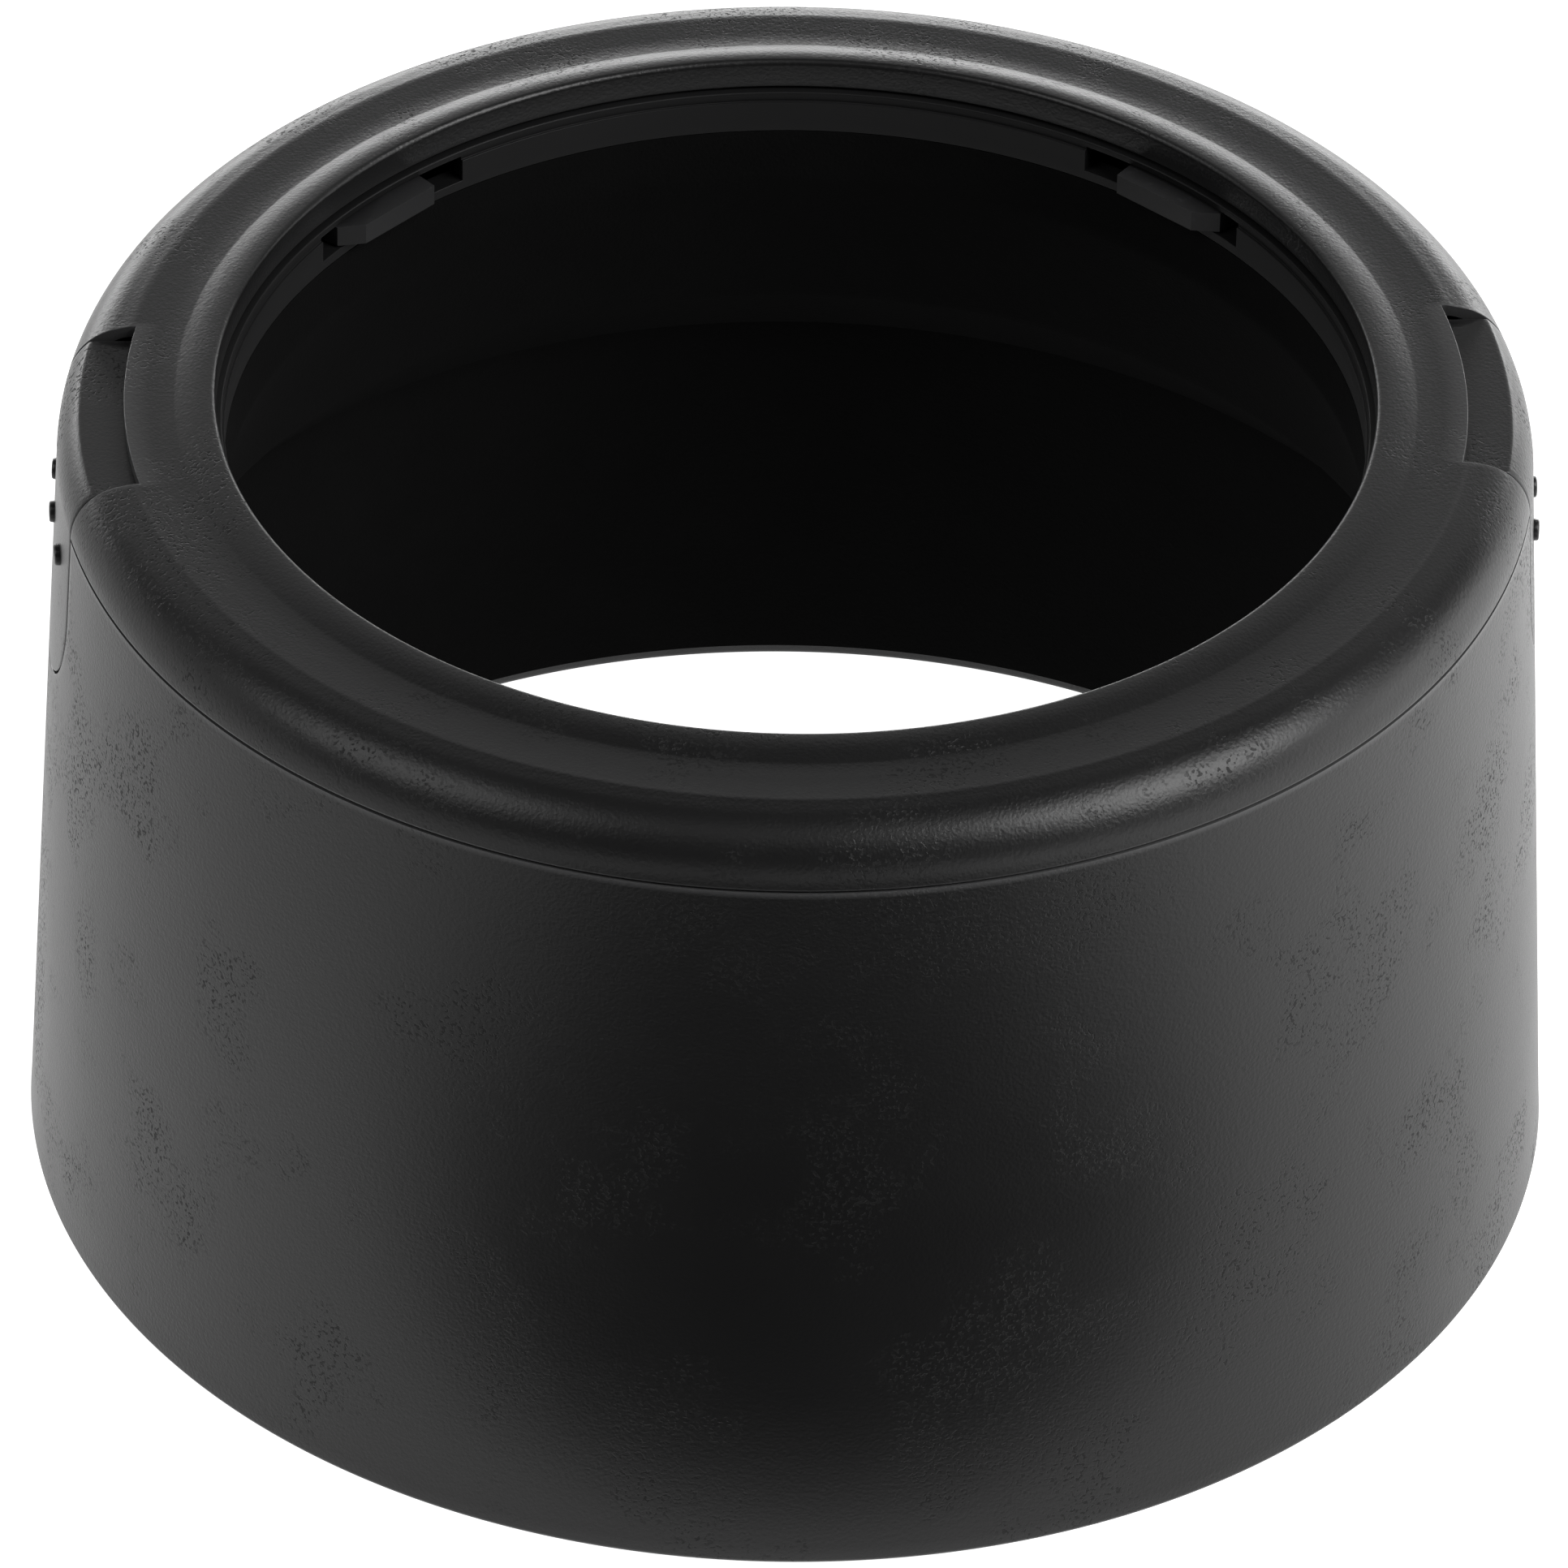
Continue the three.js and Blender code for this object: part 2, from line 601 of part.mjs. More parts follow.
// Drawn on +X: a skin that carries on the cap's shoulder and the barrel's cone, a top plate that slides
// under the cap, a retaining flange inside the barrel wall, and a screw boss.
function makeButton(bandTop) {
  const middle = bandTop + yokeWall / 2;
  const lowest = buttonBottom + overrun;
  const plateInner = cutoutRadius - plateLap;
  const easing = 0.04; // share of the shoulder that the plate's edge break takes
  const dropShare = Math.acos((shoulderDepth - buttonDrop) / shoulderDepth) / (Math.PI / 2);
  const outside = shoulderArc(shoulderWidth, shoulderDepth, dropShare + easing, 1, curveSteps);
  const innerDepth = shoulderDepth - buttonDrop - plateWall;
  const inside = shoulderArc(shoulderWidth - buttonWall, innerDepth, 1, 0, curveSteps);
  const form = ring([
    [plateInner, at(buttonDrop)],
    [shoulder(shoulderWidth, shoulderDepth, dropShare)[0] - edgeBreak, at(buttonDrop)],
    ...outside,
    [outerWall(at(lowest)), at(lowest)],
    [outerWall(at(lowest)) - buttonWall, at(lowest)],
    ...inside,
    [plateInner, at(buttonDrop + plateWall)],
  ]);
  const reach = rimRadius + overrun;
  const face = form.intersect(bar(buttonOutline(buttonHalf, 0), plateInner - overrun * 2, reach));

  const flangeWallOuter = (depth) => innerWall(at(depth)) - fitGap;
  const flangeRing = ring([
    [flangeWallOuter(flangeTop), at(flangeTop)],
    [flangeWallOuter(lowest), at(lowest)],
    [flangeWallOuter(lowest) - skirtWall, at(lowest)],
    [flangeWallOuter(flangeTop) - skirtWall, at(flangeTop)],
  ]);
  const flange = flangeRing.intersect(bar(buttonOutline(cutoutHalf + buttonLip, 0), plateInner, reach));

  // The skin is thinned where the yoke's band passes behind it.
  const bandSpace = prism(
    arc(bandOuter + fitGap, -60, 60, roundSteps / 3, yokeShift),
    bandTop - seatGap,
    bandTop + yokeWall + fitGap,
  );
  const bossEnd = seamRadius - buttonWall / 2;
  const boss = pin(buttonScrewHead + fitGap * 2, padOuter + seatGap, bossEnd, 0, middle);
  const hole = pin(buttonScrewRadius + fitGap / 2, padOuter - overrun, bossEnd, 0, middle);

  const pips = [-pipPitch, 0, pipPitch].map((angle) => {
    const surface = outerWall(at(pipDepth));
    const height = pipRise + pipRoot;
    const geometry = new THREE.CylinderGeometry(pipRadius * pipTop, pipRadius, height, smallSteps);
    geometry.rotateZ(-Math.PI / 2).translate(surface + pipRise - height / 2, 0, at(pipDepth));
    return solid(geometry.rotateZ(rad(angle)));
  });
  return cut(joined([cut(face, [bandSpace]), flange, boss, ...pips]), [hole]);
}

// ---------------------------------------------------------------- lining

function makeRearLining() {
  return skin(
    [
      [liningRecess - seatGap, at(sleeveBottom)],
      [liningRecess - seatGap, at(flangeBottom + seatGap)],
      [coneInnerEnd - seatGap, at(chamberDepth)],
      [innerWall(at(flareEnd)) - seatGap * 2, at(flareEnd - seatGap)],
    ],
    liningWall,
  );
}

function makeFrontLining() {
  const top = at(flareEnd + fitGap * 3);
  const bottom = rimRound * 3;
  return skin(
    [
      [innerWall(top) - seatGap, top],
      [innerWall(bottom) - seatGap, bottom],
    ],
    liningWall,
  );
}

// ---------------------------------------------------------------- springs and screws

// A coil spring along +X from the claw ring's seat to the yoke's pad.
class Coil extends THREE.Curve {
  constructor(length, radius, turns) {
    super();
    this.length = length;
    this.radius = radius;
    this.turns = turns;
  }

  getPoint(share) {
    const turn = 2 * Math.PI * this.turns * share;
    return new THREE.Vector3(this.length * share, this.radius * Math.cos(turn), this.radius * Math.sin(turn));
  }
}

function makeSpring(y, depth) {
  const coil = new Coil(springEnd - springStart - springWire * 2, springRadius - springWire, springTurns);
  const section = new THREE.Shape(arc(springWire, 0, 360 - 360 / wireSides, wireSides - 1));
  const options = { steps: springTurns * coilSteps, extrudePath: coil, bevelEnabled: false };
  const geometry = new THREE.ExtrudeGeometry(section, options);
  return solid(geometry.translate(springStart + springWire, y, at(depth)));
}

// A screw's outline turned about its own axis, head down, with a cross recess cut in the head.
function makeScrew(head, headWall, shank, length) {
  const crown = head * 0.8;
  const shoulderWall = headWall * 0.4;
  const tip = shank * 0.4;
  const body = ring(
    [
      [0, 0],
      [crown, 0],
      [head, shoulderWall],
      [head, headWall],
      [shank, headWall],
      [shank, headWall + length - shank],
      [tip, headWall + length],
      [0, headWall + length],
    ],
    smallSteps,
  );
  const arm = head * 0.6;
  const blade = head * 0.14;
  const recess = headWall * 0.55;
  const cross = [
    new THREE.BoxGeometry(arm * 2, blade * 2, recess * 2),
    new THREE.BoxGeometry(blade * 2, arm * 2, recess * 2),
  ].map(solid);
  return cut(body, cross);
}

function placed(shape, matrix) {
  return solid(geometryOf(shape).applyMatrix4(matrix));
}

// ---------------------------------------------------------------- assembly

addPiece("barrel", makeBarrel(), grainedPlastic);
addPiece("mount_cap", makeCap(), grainedPlastic);
addPiece("claw_ring", makeClawRing(), plainPlastic);
addPiece("rear_lining", makeRearLining(), flock);
addPiece("front_lining", makeFrontLining(), flock);

const sides = [
  { name: "right", yoke: "lower_yoke", bandTop: lowerBandTop, turn: 0 },
  { name: "left", yoke: "upper_yoke", bandTop: upperBandTop, turn: Math.PI },
];
for (const { name, yoke, bandTop, turn } of sides) {
  const middle = bandTop + yokeWall / 2;
  addPiece(yoke, makeYoke(bandTop), yokePlastic, turn);
  addPiece(`${name}_button`, makeButton(bandTop), grainedPlastic, turn);
  addPiece(`${name}_spring_1`, makeSpring(-springOffset, middle), steel, turn);
  addPiece(`${name}_spring_2`, makeSpring(springOffset, middle), steel, turn);

  const length = seamRadius - buttonWall / 2 - padInner - fitGap * 2;
  const screw = makeScrew(buttonScrewHead, buttonScrewHeadWall, buttonScrewRadius, length);
  const along = new THREE.Matrix4().makeRotationY(Math.PI / 2);
  along.setPosition(padInner - buttonScrewHeadWall - seatGap, 0, at(middle));
  addPiece(`${name}_button_screw`, placed(screw, along), steel, turn);
}

screwCentres.forEach((centre, i) => {
  const length = flangeBottom - screwTip;
  const screw = makeScrew(screwHead, screwHeadWall, screwRadius, length);
  const up = new THREE.Matrix4();
  up.setPosition(centre.x, centre.y, at(flangeBottom + seatGap) - screwHeadWall);
  addPiece(`cap_screw_${i + 1}`, placed(screw, up), blackSteel);
});

export default hood;
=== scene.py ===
"""Looks of the clip-on lens hood: moulded black plastic shells, flocked lining, claws, springs and screws.

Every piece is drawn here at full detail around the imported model, in metres, with +Z towards the mount end and
the buttons on +X and -X.
"""

import json
import math
from types import SimpleNamespace

import bmesh
import bpy
from mathutils import Matrix, Vector, noise


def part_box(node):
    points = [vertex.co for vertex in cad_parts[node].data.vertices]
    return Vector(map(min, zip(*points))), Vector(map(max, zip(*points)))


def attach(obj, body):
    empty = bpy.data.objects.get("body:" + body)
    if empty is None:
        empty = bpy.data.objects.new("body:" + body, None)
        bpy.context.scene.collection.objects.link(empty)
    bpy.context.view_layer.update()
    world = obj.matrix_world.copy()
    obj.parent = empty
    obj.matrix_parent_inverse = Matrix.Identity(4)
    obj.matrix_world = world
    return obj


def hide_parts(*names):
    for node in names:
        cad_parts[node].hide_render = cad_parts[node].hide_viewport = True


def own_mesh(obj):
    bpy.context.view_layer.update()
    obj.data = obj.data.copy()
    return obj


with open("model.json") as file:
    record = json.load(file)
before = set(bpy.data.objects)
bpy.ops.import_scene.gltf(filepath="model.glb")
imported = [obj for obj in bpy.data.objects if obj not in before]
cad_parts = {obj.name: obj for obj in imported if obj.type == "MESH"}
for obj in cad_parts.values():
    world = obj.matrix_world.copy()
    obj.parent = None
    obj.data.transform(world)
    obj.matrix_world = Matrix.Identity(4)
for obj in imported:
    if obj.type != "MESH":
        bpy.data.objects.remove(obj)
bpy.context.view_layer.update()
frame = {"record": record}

MM = 0.001
TURN = 2 * math.pi


# ---------------------------------------------------------------- sizes

barrel_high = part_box("barrel")[1]
cap_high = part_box("mount_cap")[1]

rim_radius = barrel_high.x
bead_rise = 0.5 * MM
face_height = cap_high.z - bead_rise
fit_gap = 0.15 * MM
seat_gap = 0.05 * MM
edge_round = 0.11 * MM
skim = 0.01 * MM  # how far joined shapes run into each other

# Mount cap, from the bore outwards
sleeve_radius = 32.75 * MM
lip_radius = sleeve_radius + 0.5 * MM
flat_inner = lip_radius + 2.45 * MM
flat_outer = flat_inner + 3.1 * MM
seam_radius = cap_high.y
shoulder_width = seam_radius - flat_outer
shoulder_depth = 3.86 * MM
seam_height = face_height - shoulder_depth
cap_plate = 0.8 * MM
cap_wall = 1.3 * MM
lip_depth = 1.35 * MM
lip_chamfer = 0.08 * MM
snap_rise = 0.3 * MM
cutout_radius = flat_outer - 0.3 * MM
cutout_half = 7.8 * MM
arc_depth = 9.35 * MM

# Barrel and lining
barrel_wall = 1.4 * MM
barrel_top = barrel_high.z
cone_wall = 1.15 * MM
lining_wall = 0.4 * MM
lining_recess = sleeve_radius + lining_wall + seat_gap

# Claw ring
sleeve_outer = sleeve_radius + 1.35 * MM
ledge_depth = 1.5 * MM
ledge_step = 0.15 * MM
mouth_depth = 2.1 * MM
sleeve_bottom = 4.15 * MM
flange_wall = 1.2 * MM
guide_half = 2 * MM
peg_radius = 0.5 * MM
peg_length = 0.9 * MM
window_from = math.radians(35.5)
window_to = math.radians(56)

# Claws, yokes and springs
claw_top = 2.05 * MM
claw_wall = 1.3 * MM
claw_reach = 1.15 * MM
claw_angle = math.radians(46)
claw_edge_from = math.radians(40.5)
claw_edge_to = math.radians(50.8)
claw_root_from = math.radians(38.3)
travel = next(j["range_m"][1] for j in frame["record"]["behaviour"]["joints"])
yoke_shift = travel / 2
yoke_wall = 2 * MM
yoke_end = math.radians(34)
upper_band = claw_top
lower_band = upper_band + yoke_wall + fit_gap
flange_depth = lower_band + yoke_wall + fit_gap
flange_bottom = flange_depth + flange_wall
snap_depth = flange_depth - fit_gap - 1 * MM
barrel_top_inner = seam_radius - barrel_wall
band_outer = barrel_top_inner - yoke_shift - barrel_wall / 2
post_inner = sleeve_outer + 2 * fit_gap
sweep = (travel + yoke_shift) * math.cos(claw_root_from) + 0.25 * MM
band_wall = (band_outer - post_inner - sweep) / 2
band_inner = band_outer - band_wall
post_outer = post_inner + band_wall
pad_inner = band_outer + yoke_shift - 2.5 * MM
pad_outer = pad_inner + 1.4 * MM
pad_half = 6.2 * MM
spring_offset = 4.5 * MM
spring_seat = sleeve_outer + 0.6 * MM
spring_slot_depth = 1 * MM
spring_end = pad_inner + spring_slot_depth - seat_gap
screw_radius = 0.75 * MM
ring_screw_tip = 2.2 * MM
screw_circle = (sleeve_outer + band_inner) / 2
screw_aside = math.radians(20)
screw_angles = [middle + side * screw_aside for middle in (TURN / 4, 3 * TURN / 4) for side in (-1, 1)]

# Buttons
button_half = cutout_half - fit_gap
button_wall = barrel_wall + 2 * fit_gap
button_drop = 0.9 * MM
button_lip = 0.8 * MM
plate_wall = 1.05 * MM
plate_inner = cutout_radius - 1 * MM
pip_depth = 7.45 * MM
pip_radius = 0.64 * MM
pip_rise = 0.3 * MM
pip_pitch = math.radians(5.7)

columns = 240  # facets in half a turn of the large pieces


def at(depth):
    """Height of a point that lies this far below the cap's flat face."""
    return face_height - depth


def outer_wall(z):
    return seam_radius + (rim_radius - seam_radius) * (seam_height - z) / seam_height


def inner_wall(z):
    return outer_wall(z) - barrel_wall


def grooved_wall(z):
    """The inner wall with the groove that takes the cap's snaps."""
    share = 2 - abs(face_height - z - snap_depth) / snap_rise
    return inner_wall(z) + (snap_rise + fit_gap) * min(max(share, 0), 1)


button_bottom = arc_depth + cutout_half
chamber_depth = button_bottom + 1.3 * MM
flare_end = chamber_depth + 5.4 * MM
cone_outer_end = inner_wall(at(chamber_depth)) - 1.6 * MM - travel
cone_inner_end = cone_outer_end - cone_wall


# ---------------------------------------------------------------- camera

def make_camera():
    """A long lens, so that the far side is hardly smaller than the near side."""
    distance = 27.075 * lip_radius
    ring_elevation = math.radians(35.226)
    azimuth = math.radians(-3.2)
    tilt = math.radians(36.651)
    roll = math.radians(0.9096)
    flat = distance * math.cos(ring_elevation)
    data = bpy.data.cameras.new("camera")
    data.sensor_width = 36
    data.lens = 360.6
    data.shift_x = -0.0038
    data.clip_start = 0.05
    data.clip_end = 20
    camera = bpy.data.objects.new("camera", data)
    bpy.context.scene.collection.objects.link(camera)
    height = face_height + distance * math.sin(ring_elevation)
    camera.location = (flat * math.sin(azimuth), -flat * math.cos(azimuth), height)
    look = (
        Matrix.Rotation(azimuth, 4, "Z")
        @ Matrix.Rotation(math.pi / 2 - tilt, 4, "X")
        @ Matrix.Rotation(roll, 4, "Z")
    )
    camera.rotation_mode = "QUATERNION"
    camera.rotation_quaternion = look.to_quaternion()
    bpy.context.scene.camera = camera


make_camera()


# ---------------------------------------------------------------- shader expressions

class Socket:
    """An output of a node, with the arithmetic that the materials use."""

    def __init__(self, sheet, link):
        self.sheet = sheet
        self.link = link

    def _maths(self, operation, first, second):
        return self.sheet.node("ShaderNodeMath", {"operation": operation}, {0: first, 1: second})

    def __add__(self, other):
        return self._maths("ADD", self, other)

    def __radd__(self, other):
        return self._maths("ADD", other, self)

    def __sub__(self, other):
        return self._maths("SUBTRACT", self, other)

    def __rsub__(self, other):
        return self._maths("SUBTRACT", other, self)

    def __mul__(self, other):
        return self._maths("MULTIPLY", self, other)

    def __rmul__(self, other):
        return self._maths("MULTIPLY", other, self)

    def clamped(self):
        return self.sheet.node("ShaderNodeClamp", {}, {"Value": self})

    def between(self, start, end):
        """0 up to start, 1 from end on, and an even rise from one to the other."""
        return ((self - start) * (1 / (end - start))).clamped()


class Sheet:
    """A material's node tree. node() makes one node: its settings first, then its values and links."""

    def __init__(self, name):
        self.material = bpy.data.materials.new(name)
        self.material.use_nodes = True
        self.tree = self.material.node_tree
        self.tree.nodes.clear()

    def node(self, kind, settings=None, inputs=None, output=0):
        made = self.tree.nodes.new(kind)
        for key, value in (settings or {}).items():
            if key == "stops":
                self._set_stops(made.color_ramp, value)
            else:
                setattr(made, key, value)
        for key, value in (inputs or {}).items():
            if isinstance(value, Socket):
                self.tree.links.new(value.link, made.inputs[key])
            else:
                made.inputs[key].default_value = value
        return Socket(self, made.outputs[output]) if made.outputs else None

    @staticmethod
    def _set_stops(ramp, stops):
        while len(ramp.elements) > 1:
            ramp.elements.remove(ramp.elements[-1])
        first, *rest = stops
        ramp.elements[0].position = first[0]
        ramp.elements[0].color = grey(first[1])
        for position, value in rest:
            ramp.elements.new(position).color = grey(value)

    def place(self):
        return self.node("ShaderNodeTexCoord", output="Object")

    def noise(self, size, detail, roughness, place):
        """Noise whose patches are about this many metres across, from 0 to 1."""
        inputs = {"Vector": place, "Scale": 1 / size, "Detail": detail, "Roughness": roughness}
        return self.node("ShaderNodeTexNoise", {}, inputs)

    def cells(self, size, place, smooth):
        """Distance to the nearest of scattered cell centres, from 0 to about 1."""
        settings = {"feature": "SMOOTH_F1"}
        inputs = {"Vector": place, "Scale": 1 / size, "Smoothness": smooth}
        return self.node("ShaderNodeTexVoronoi", settings, inputs, output="Distance")

    def ramp(self, value, *stops):
        return self.node("ShaderNodeValToRGB", {"stops": stops}, {"Fac": value}, output="Color")

    def mix(self, share, first, second):
        inputs = {0: share, 6: grey(first), 7: grey(second)}
        return self.node("ShaderNodeMix", {"data_type": "RGBA"}, inputs, output=2)

    def attribute(self, name):
        settings = {"attribute_name": name, "attribute_type": "GEOMETRY"}
        return self.node("ShaderNodeAttribute", settings, output="Fac")

    def bump(self, height, depth, strength):
        inputs = {"Height": height, "Distance": depth, "Strength": strength}
        return self.node("ShaderNodeBump", {}, inputs)

    def finish(self, **inputs):
        shader = self.node("ShaderNodeBsdfPrincipled", {}, inputs)
        self.node("ShaderNodeOutputMaterial", {}, {"Surface": shader})
        return self.material


def grey(value):
    """A colour as four numbers, from one number, three or four, or a link left as it is."""
    if isinstance(value, Socket):
        return value
    if isinstance(value, (int, float)):
        return (value, value, value, 1)
    return tuple(value) + (1,) * (4 - len(value))


# ---------------------------------------------------------------- materials

def grained_plastic():
    """Black moulding with a fine pebbled grain and loose patches of pits painted darker as shade, rubbed
    smoother on its edges, whose colour is lightened partly as wear and partly as a painted highlight.
    """
    sheet = Sheet("grained_plastic")
    place = sheet.place()
    pebbles = sheet.cells(0.24 * MM, place, 0.6)
    fine = sheet.noise(0.15 * MM, 3, 0.65, place)
    pits = sheet.ramp(sheet.noise(0.24 * MM, 1, 0.5, place), (0.57, 0), (0.64, 1))
    pitted = sheet.ramp(sheet.noise(8 * MM, 3, 0.6, place), (0.48, 0), (0.62, 1))
    cloud = sheet.noise(9 * MM, 4, 0.55, place)
    convex_edge = sheet.attribute("edge")
    holes = pits * pitted
    height = pebbles * 0.6 + fine * 0.8 - holes * 0.7
    rough = (0.27 + 0.06 * cloud + 0.1 * fine + 0.3 * holes - 0.04 * convex_edge).clamped()
    colour = sheet.mix(cloud * 0.6 + fine * 0.4, (0.0035, 0.0035, 0.0036), (0.006, 0.006, 0.0061))
    # The pits are also painted darker in colour: painted shade in them.
    colour = sheet.mix(holes * 0.9, colour, (0.0015, 0.0015, 0.0015))
    # Edges are painted lighter: partly wear, partly a painted highlight along them.
    colour = sheet.mix(convex_edge * 0.7, colour, (0.06, 0.06, 0.061))
    return sheet.finish(
        **{
            "Base Color": colour,
            "Roughness": rough,
            "Specular IOR Level": 0.27,
            "Normal": sheet.bump(height, 0.019 * MM, 0.9),
        }
    )


def plain_plastic():
    """The smoother black moulding of the claw ring, with a very fine grain."""
    sheet = Sheet("plain_plastic")
    place = sheet.place()
    fine = sheet.noise(0.1 * MM, 3, 0.6, place)
    cloud = sheet.noise(5 * MM, 3, 0.55, place)
    convex_edge = sheet.attribute("edge")
    rough = 0.5 + 0.1 * cloud + 0.06 * fine - 0.12 * convex_edge
    colour = sheet.mix(cloud, (0.0035, 0.0035, 0.0036), (0.0055, 0.0055, 0.0057))
    return sheet.finish(
        **{
            "Base Color": colour,
            "Roughness": rough,
            "Specular IOR Level": 0.15,
            "Normal": sheet.bump(fine, 0.01 * MM, 0.4),
        }
    )


def yoke_plastic():
    """Acetal, slightly waxy, with fine scuffs where the yokes slide."""
    sheet = Sheet("yoke_plastic")
    place = sheet.place()
    fine = sheet.noise(0.08 * MM, 2, 0.5, place)
    cloud = sheet.noise(4 * MM, 3, 0.5, place)
    scuff = sheet.ramp(sheet.noise(0.6 * MM, 4, 0.7, place), (0.58, 0), (0.7, 1))
    convex_edge = sheet.attribute("edge")
    colour = sheet.mix(cloud, (0.004, 0.004, 0.0042), (0.0065, 0.0065, 0.0067))
    colour = sheet.mix(scuff * 0.2 + convex_edge * 0.5, colour, (0.03, 0.03, 0.031))
    return sheet.finish(
        **{
            "Base Color": colour,
            "Roughness": 0.36 + 0.1 * cloud + 0.12 * scuff,
            "Specular IOR Level": 0.2,
            "Normal": sheet.bump(fine + scuff * 0.4, 0.008 * MM, 0.4),
        }
    )


def flock():
    """Dead-black flocking: a dense short pile that takes nearly all the light."""
    sheet = Sheet("flock")
    place = sheet.place()
    pile = sheet.noise(0.09 * MM, 2, 0.7, place)
    tufts = sheet.cells(0.22 * MM, place, 0.3)
    nap = sheet.noise(6 * MM, 3, 0.6, place)
    colour = sheet.mix(nap * 0.6 + pile * 0.4, (0.002, 0.002, 0.002), (0.0045, 0.0045, 0.0045))
    return sheet.finish(
        **{
            "Base Color": colour,
            "Roughness": 0.9 + 0.1 * nap,
            "Specular IOR Level": 0.02,
            "Normal": sheet.bump(pile * 0.6 + tufts * 0.6, 0.05 * MM, 0.9),
        }
    )


def spring_steel():
    """Drawn wire with fine die marks under a patchy film of oil."""
    sheet = Sheet("spring_steel")
    place = sheet.place()
    marks = sheet.noise(0.03 * MM, 4, 0.7, place)
    film = sheet.noise(0.8 * MM, 3, 0.5, place)
    colour = sheet.mix(film, (0.42, 0.41, 0.4), (0.62, 0.62, 0.63))
    return sheet.finish(
        **{
            "Base Color": colour,
            "Metallic": 1.0,
            "Roughness": 0.24 + 0.16 * film,
            "Normal": sheet.bump(marks, 0.003 * MM, 0.5),
        }
    )


def screw_steel():
    """Black-oxide steel, rubbed bright on the rims of the head and the crests of the thread."""
    sheet = Sheet("screw_steel")
    place = sheet.place()
    grain = sheet.noise(0.06 * MM, 3, 0.6, place)
    patches = sheet.noise(0.9 * MM, 3, 0.6, place)
    convex_edge = sheet.attribute("edge")
    bare = (convex_edge * 0.7 + sheet.ramp(patches, (0.6, 0), (0.75, 1)) * 0.25).clamped()
    colour = sheet.mix(bare, (0.035, 0.035, 0.038), (0.4, 0.39, 0.38))
    return sheet.finish(
        **{
            "Base Color": colour,
            "Metallic": 1.0,
            "Roughness": 0.34 + 0.14 * patches - 0.08 * convex_edge,
            "Normal": sheet.bump(grain, 0.004 * MM, 0.5),
        }
    )


def studio_floor():
    """A pale floor lit from within, with painted light brightening its glow towards +X, painted shade dimming
    it towards -X, and a soft patch of painted shade, dark in colour and glow, in front of the hood.
    """
    sheet = Sheet("studio_floor")
    place = sheet.place()
    cloud = sheet.noise(400 * MM, 3, 0.5, place)
    x = sheet.node("ShaderNodeSeparateXYZ", {}, {"Vector": place}, output="X")
    y = sheet.node("ShaderNodeSeparateXYZ", {}, {"Vector": place}, output="Y")
    aside = (x * x).between((41.56 * MM) ** 2, (79.2 * MM) ** 2)
    behind = y.between(-56 * MM, -46.48 * MM)
    beyond = y.between(-130 * MM, -255 * MM)
    # Painted shade: a soft-edged patch in front of the hood, darkened in both the floor's colour and its glow.
    painted_shade_patch = (1 - aside) * (1 - behind) * (1 - beyond)
    near, far = 56.25 * MM, 118.75 * MM
    # Over an even glow, painted light brightens the floor towards +X and painted shade dims it towards -X and
    # in the patch.
    glow_with_painted_light_and_shade = 1.05 + 0.75 * x.between(near, far) - 0.3 * x.between(-near, -far) - 1.03 * painted_shade_patch
    return sheet.finish(
        **{
            # The patch of painted shade also darkens the floor's colour here.
            "Base Color": sheet.mix(painted_shade_patch, sheet.mix(cloud, 0.3, 0.34), 0.03),
            "Roughness": 0.75 + 0.1 * cloud,
            "Specular IOR Level": 0.1,
            "Emission Color": glow_with_painted_light_and_shade,
            "Emission Strength": 1.0,
        }
    )


finishes = {
    make.__name__: make()
    for make in (grained_plastic, plain_plastic, yoke_plastic, flock, spring_steel, screw_steel)
}


# ---------------------------------------------------------------- mesh building

class Mesher:
    """A mesh under construction. Pieces of surface are added as strips and polygons and welded at the end."""

    def __init__(self):
        self.points = []
        self.faces = []

    def strip(self, lines, closed=False):
        """Quads between consecutive lines, each a list of the same number of points."""
        first = len(self.points)
        width = len(lines[0])
        for line in lines:
            self.points.extend(line)
        for i in range(len(lines) - 1):
            for j in range(width if closed else width - 1):
                a = first + i * width + j
                b = first + i * width + (j + 1) % width
                self.faces.append((a, b, b + width, a + width))

    def polygon(self, points):
        first = len(self.points)
        self.points.extend(points)
        self.faces.append(tuple(range(first, first + len(points))))

    def add(self, other, matrix=None):
        first = len(self.points)
        moved = [matrix @ Vector(p) for p in other.points] if matrix else other.points
        self.points.extend(moved)
        self.faces.extend(tuple(first + k for k in face) for face in other.faces)

    def build(self, name, finish, bevel=0.0, corner=30):
        weld = 0.001 * MM
        mesh = bpy.data.meshes.new(name)
        mesh.from_pydata([tuple(p) for p in self.points], [], self.faces)
        work = bmesh.new()
        work.from_mesh(mesh)
        bmesh.ops.remove_doubles(work, verts=work.verts, dist=weld)
        bmesh.ops.dissolve_degenerate(work, edges=work.edges, dist=weld)
        bmesh.ops.recalc_face_normals(work, faces=work.faces)
        for face in work.faces:
            face.smooth = True
        for edge in work.edges:
            if edge.is_manifold and edge.calc_face_angle(0) > math.radians(corner):
                edge.smooth = bevel > 0
        work.to_mesh(mesh)
        work.free()
        made = bpy.data.objects.new(name, mesh)
        bpy.context.scene.collection.objects.link(made)
        mesh.materials.append(finishes[finish])
        if bevel:
            round_edges(made, bevel, corner)
        mark_edges(made)
        return made


def settle(made):
    """Applies a piece's modifiers to its mesh."""
    graph = bpy.context.evaluated_depsgraph_get()
    graph.update()
    final = bpy.data.meshes.new_from_object(made.evaluated_get(graph))
    made.modifiers.clear()
    old, made.data = made.data, final
    bpy.data.meshes.remove(old)


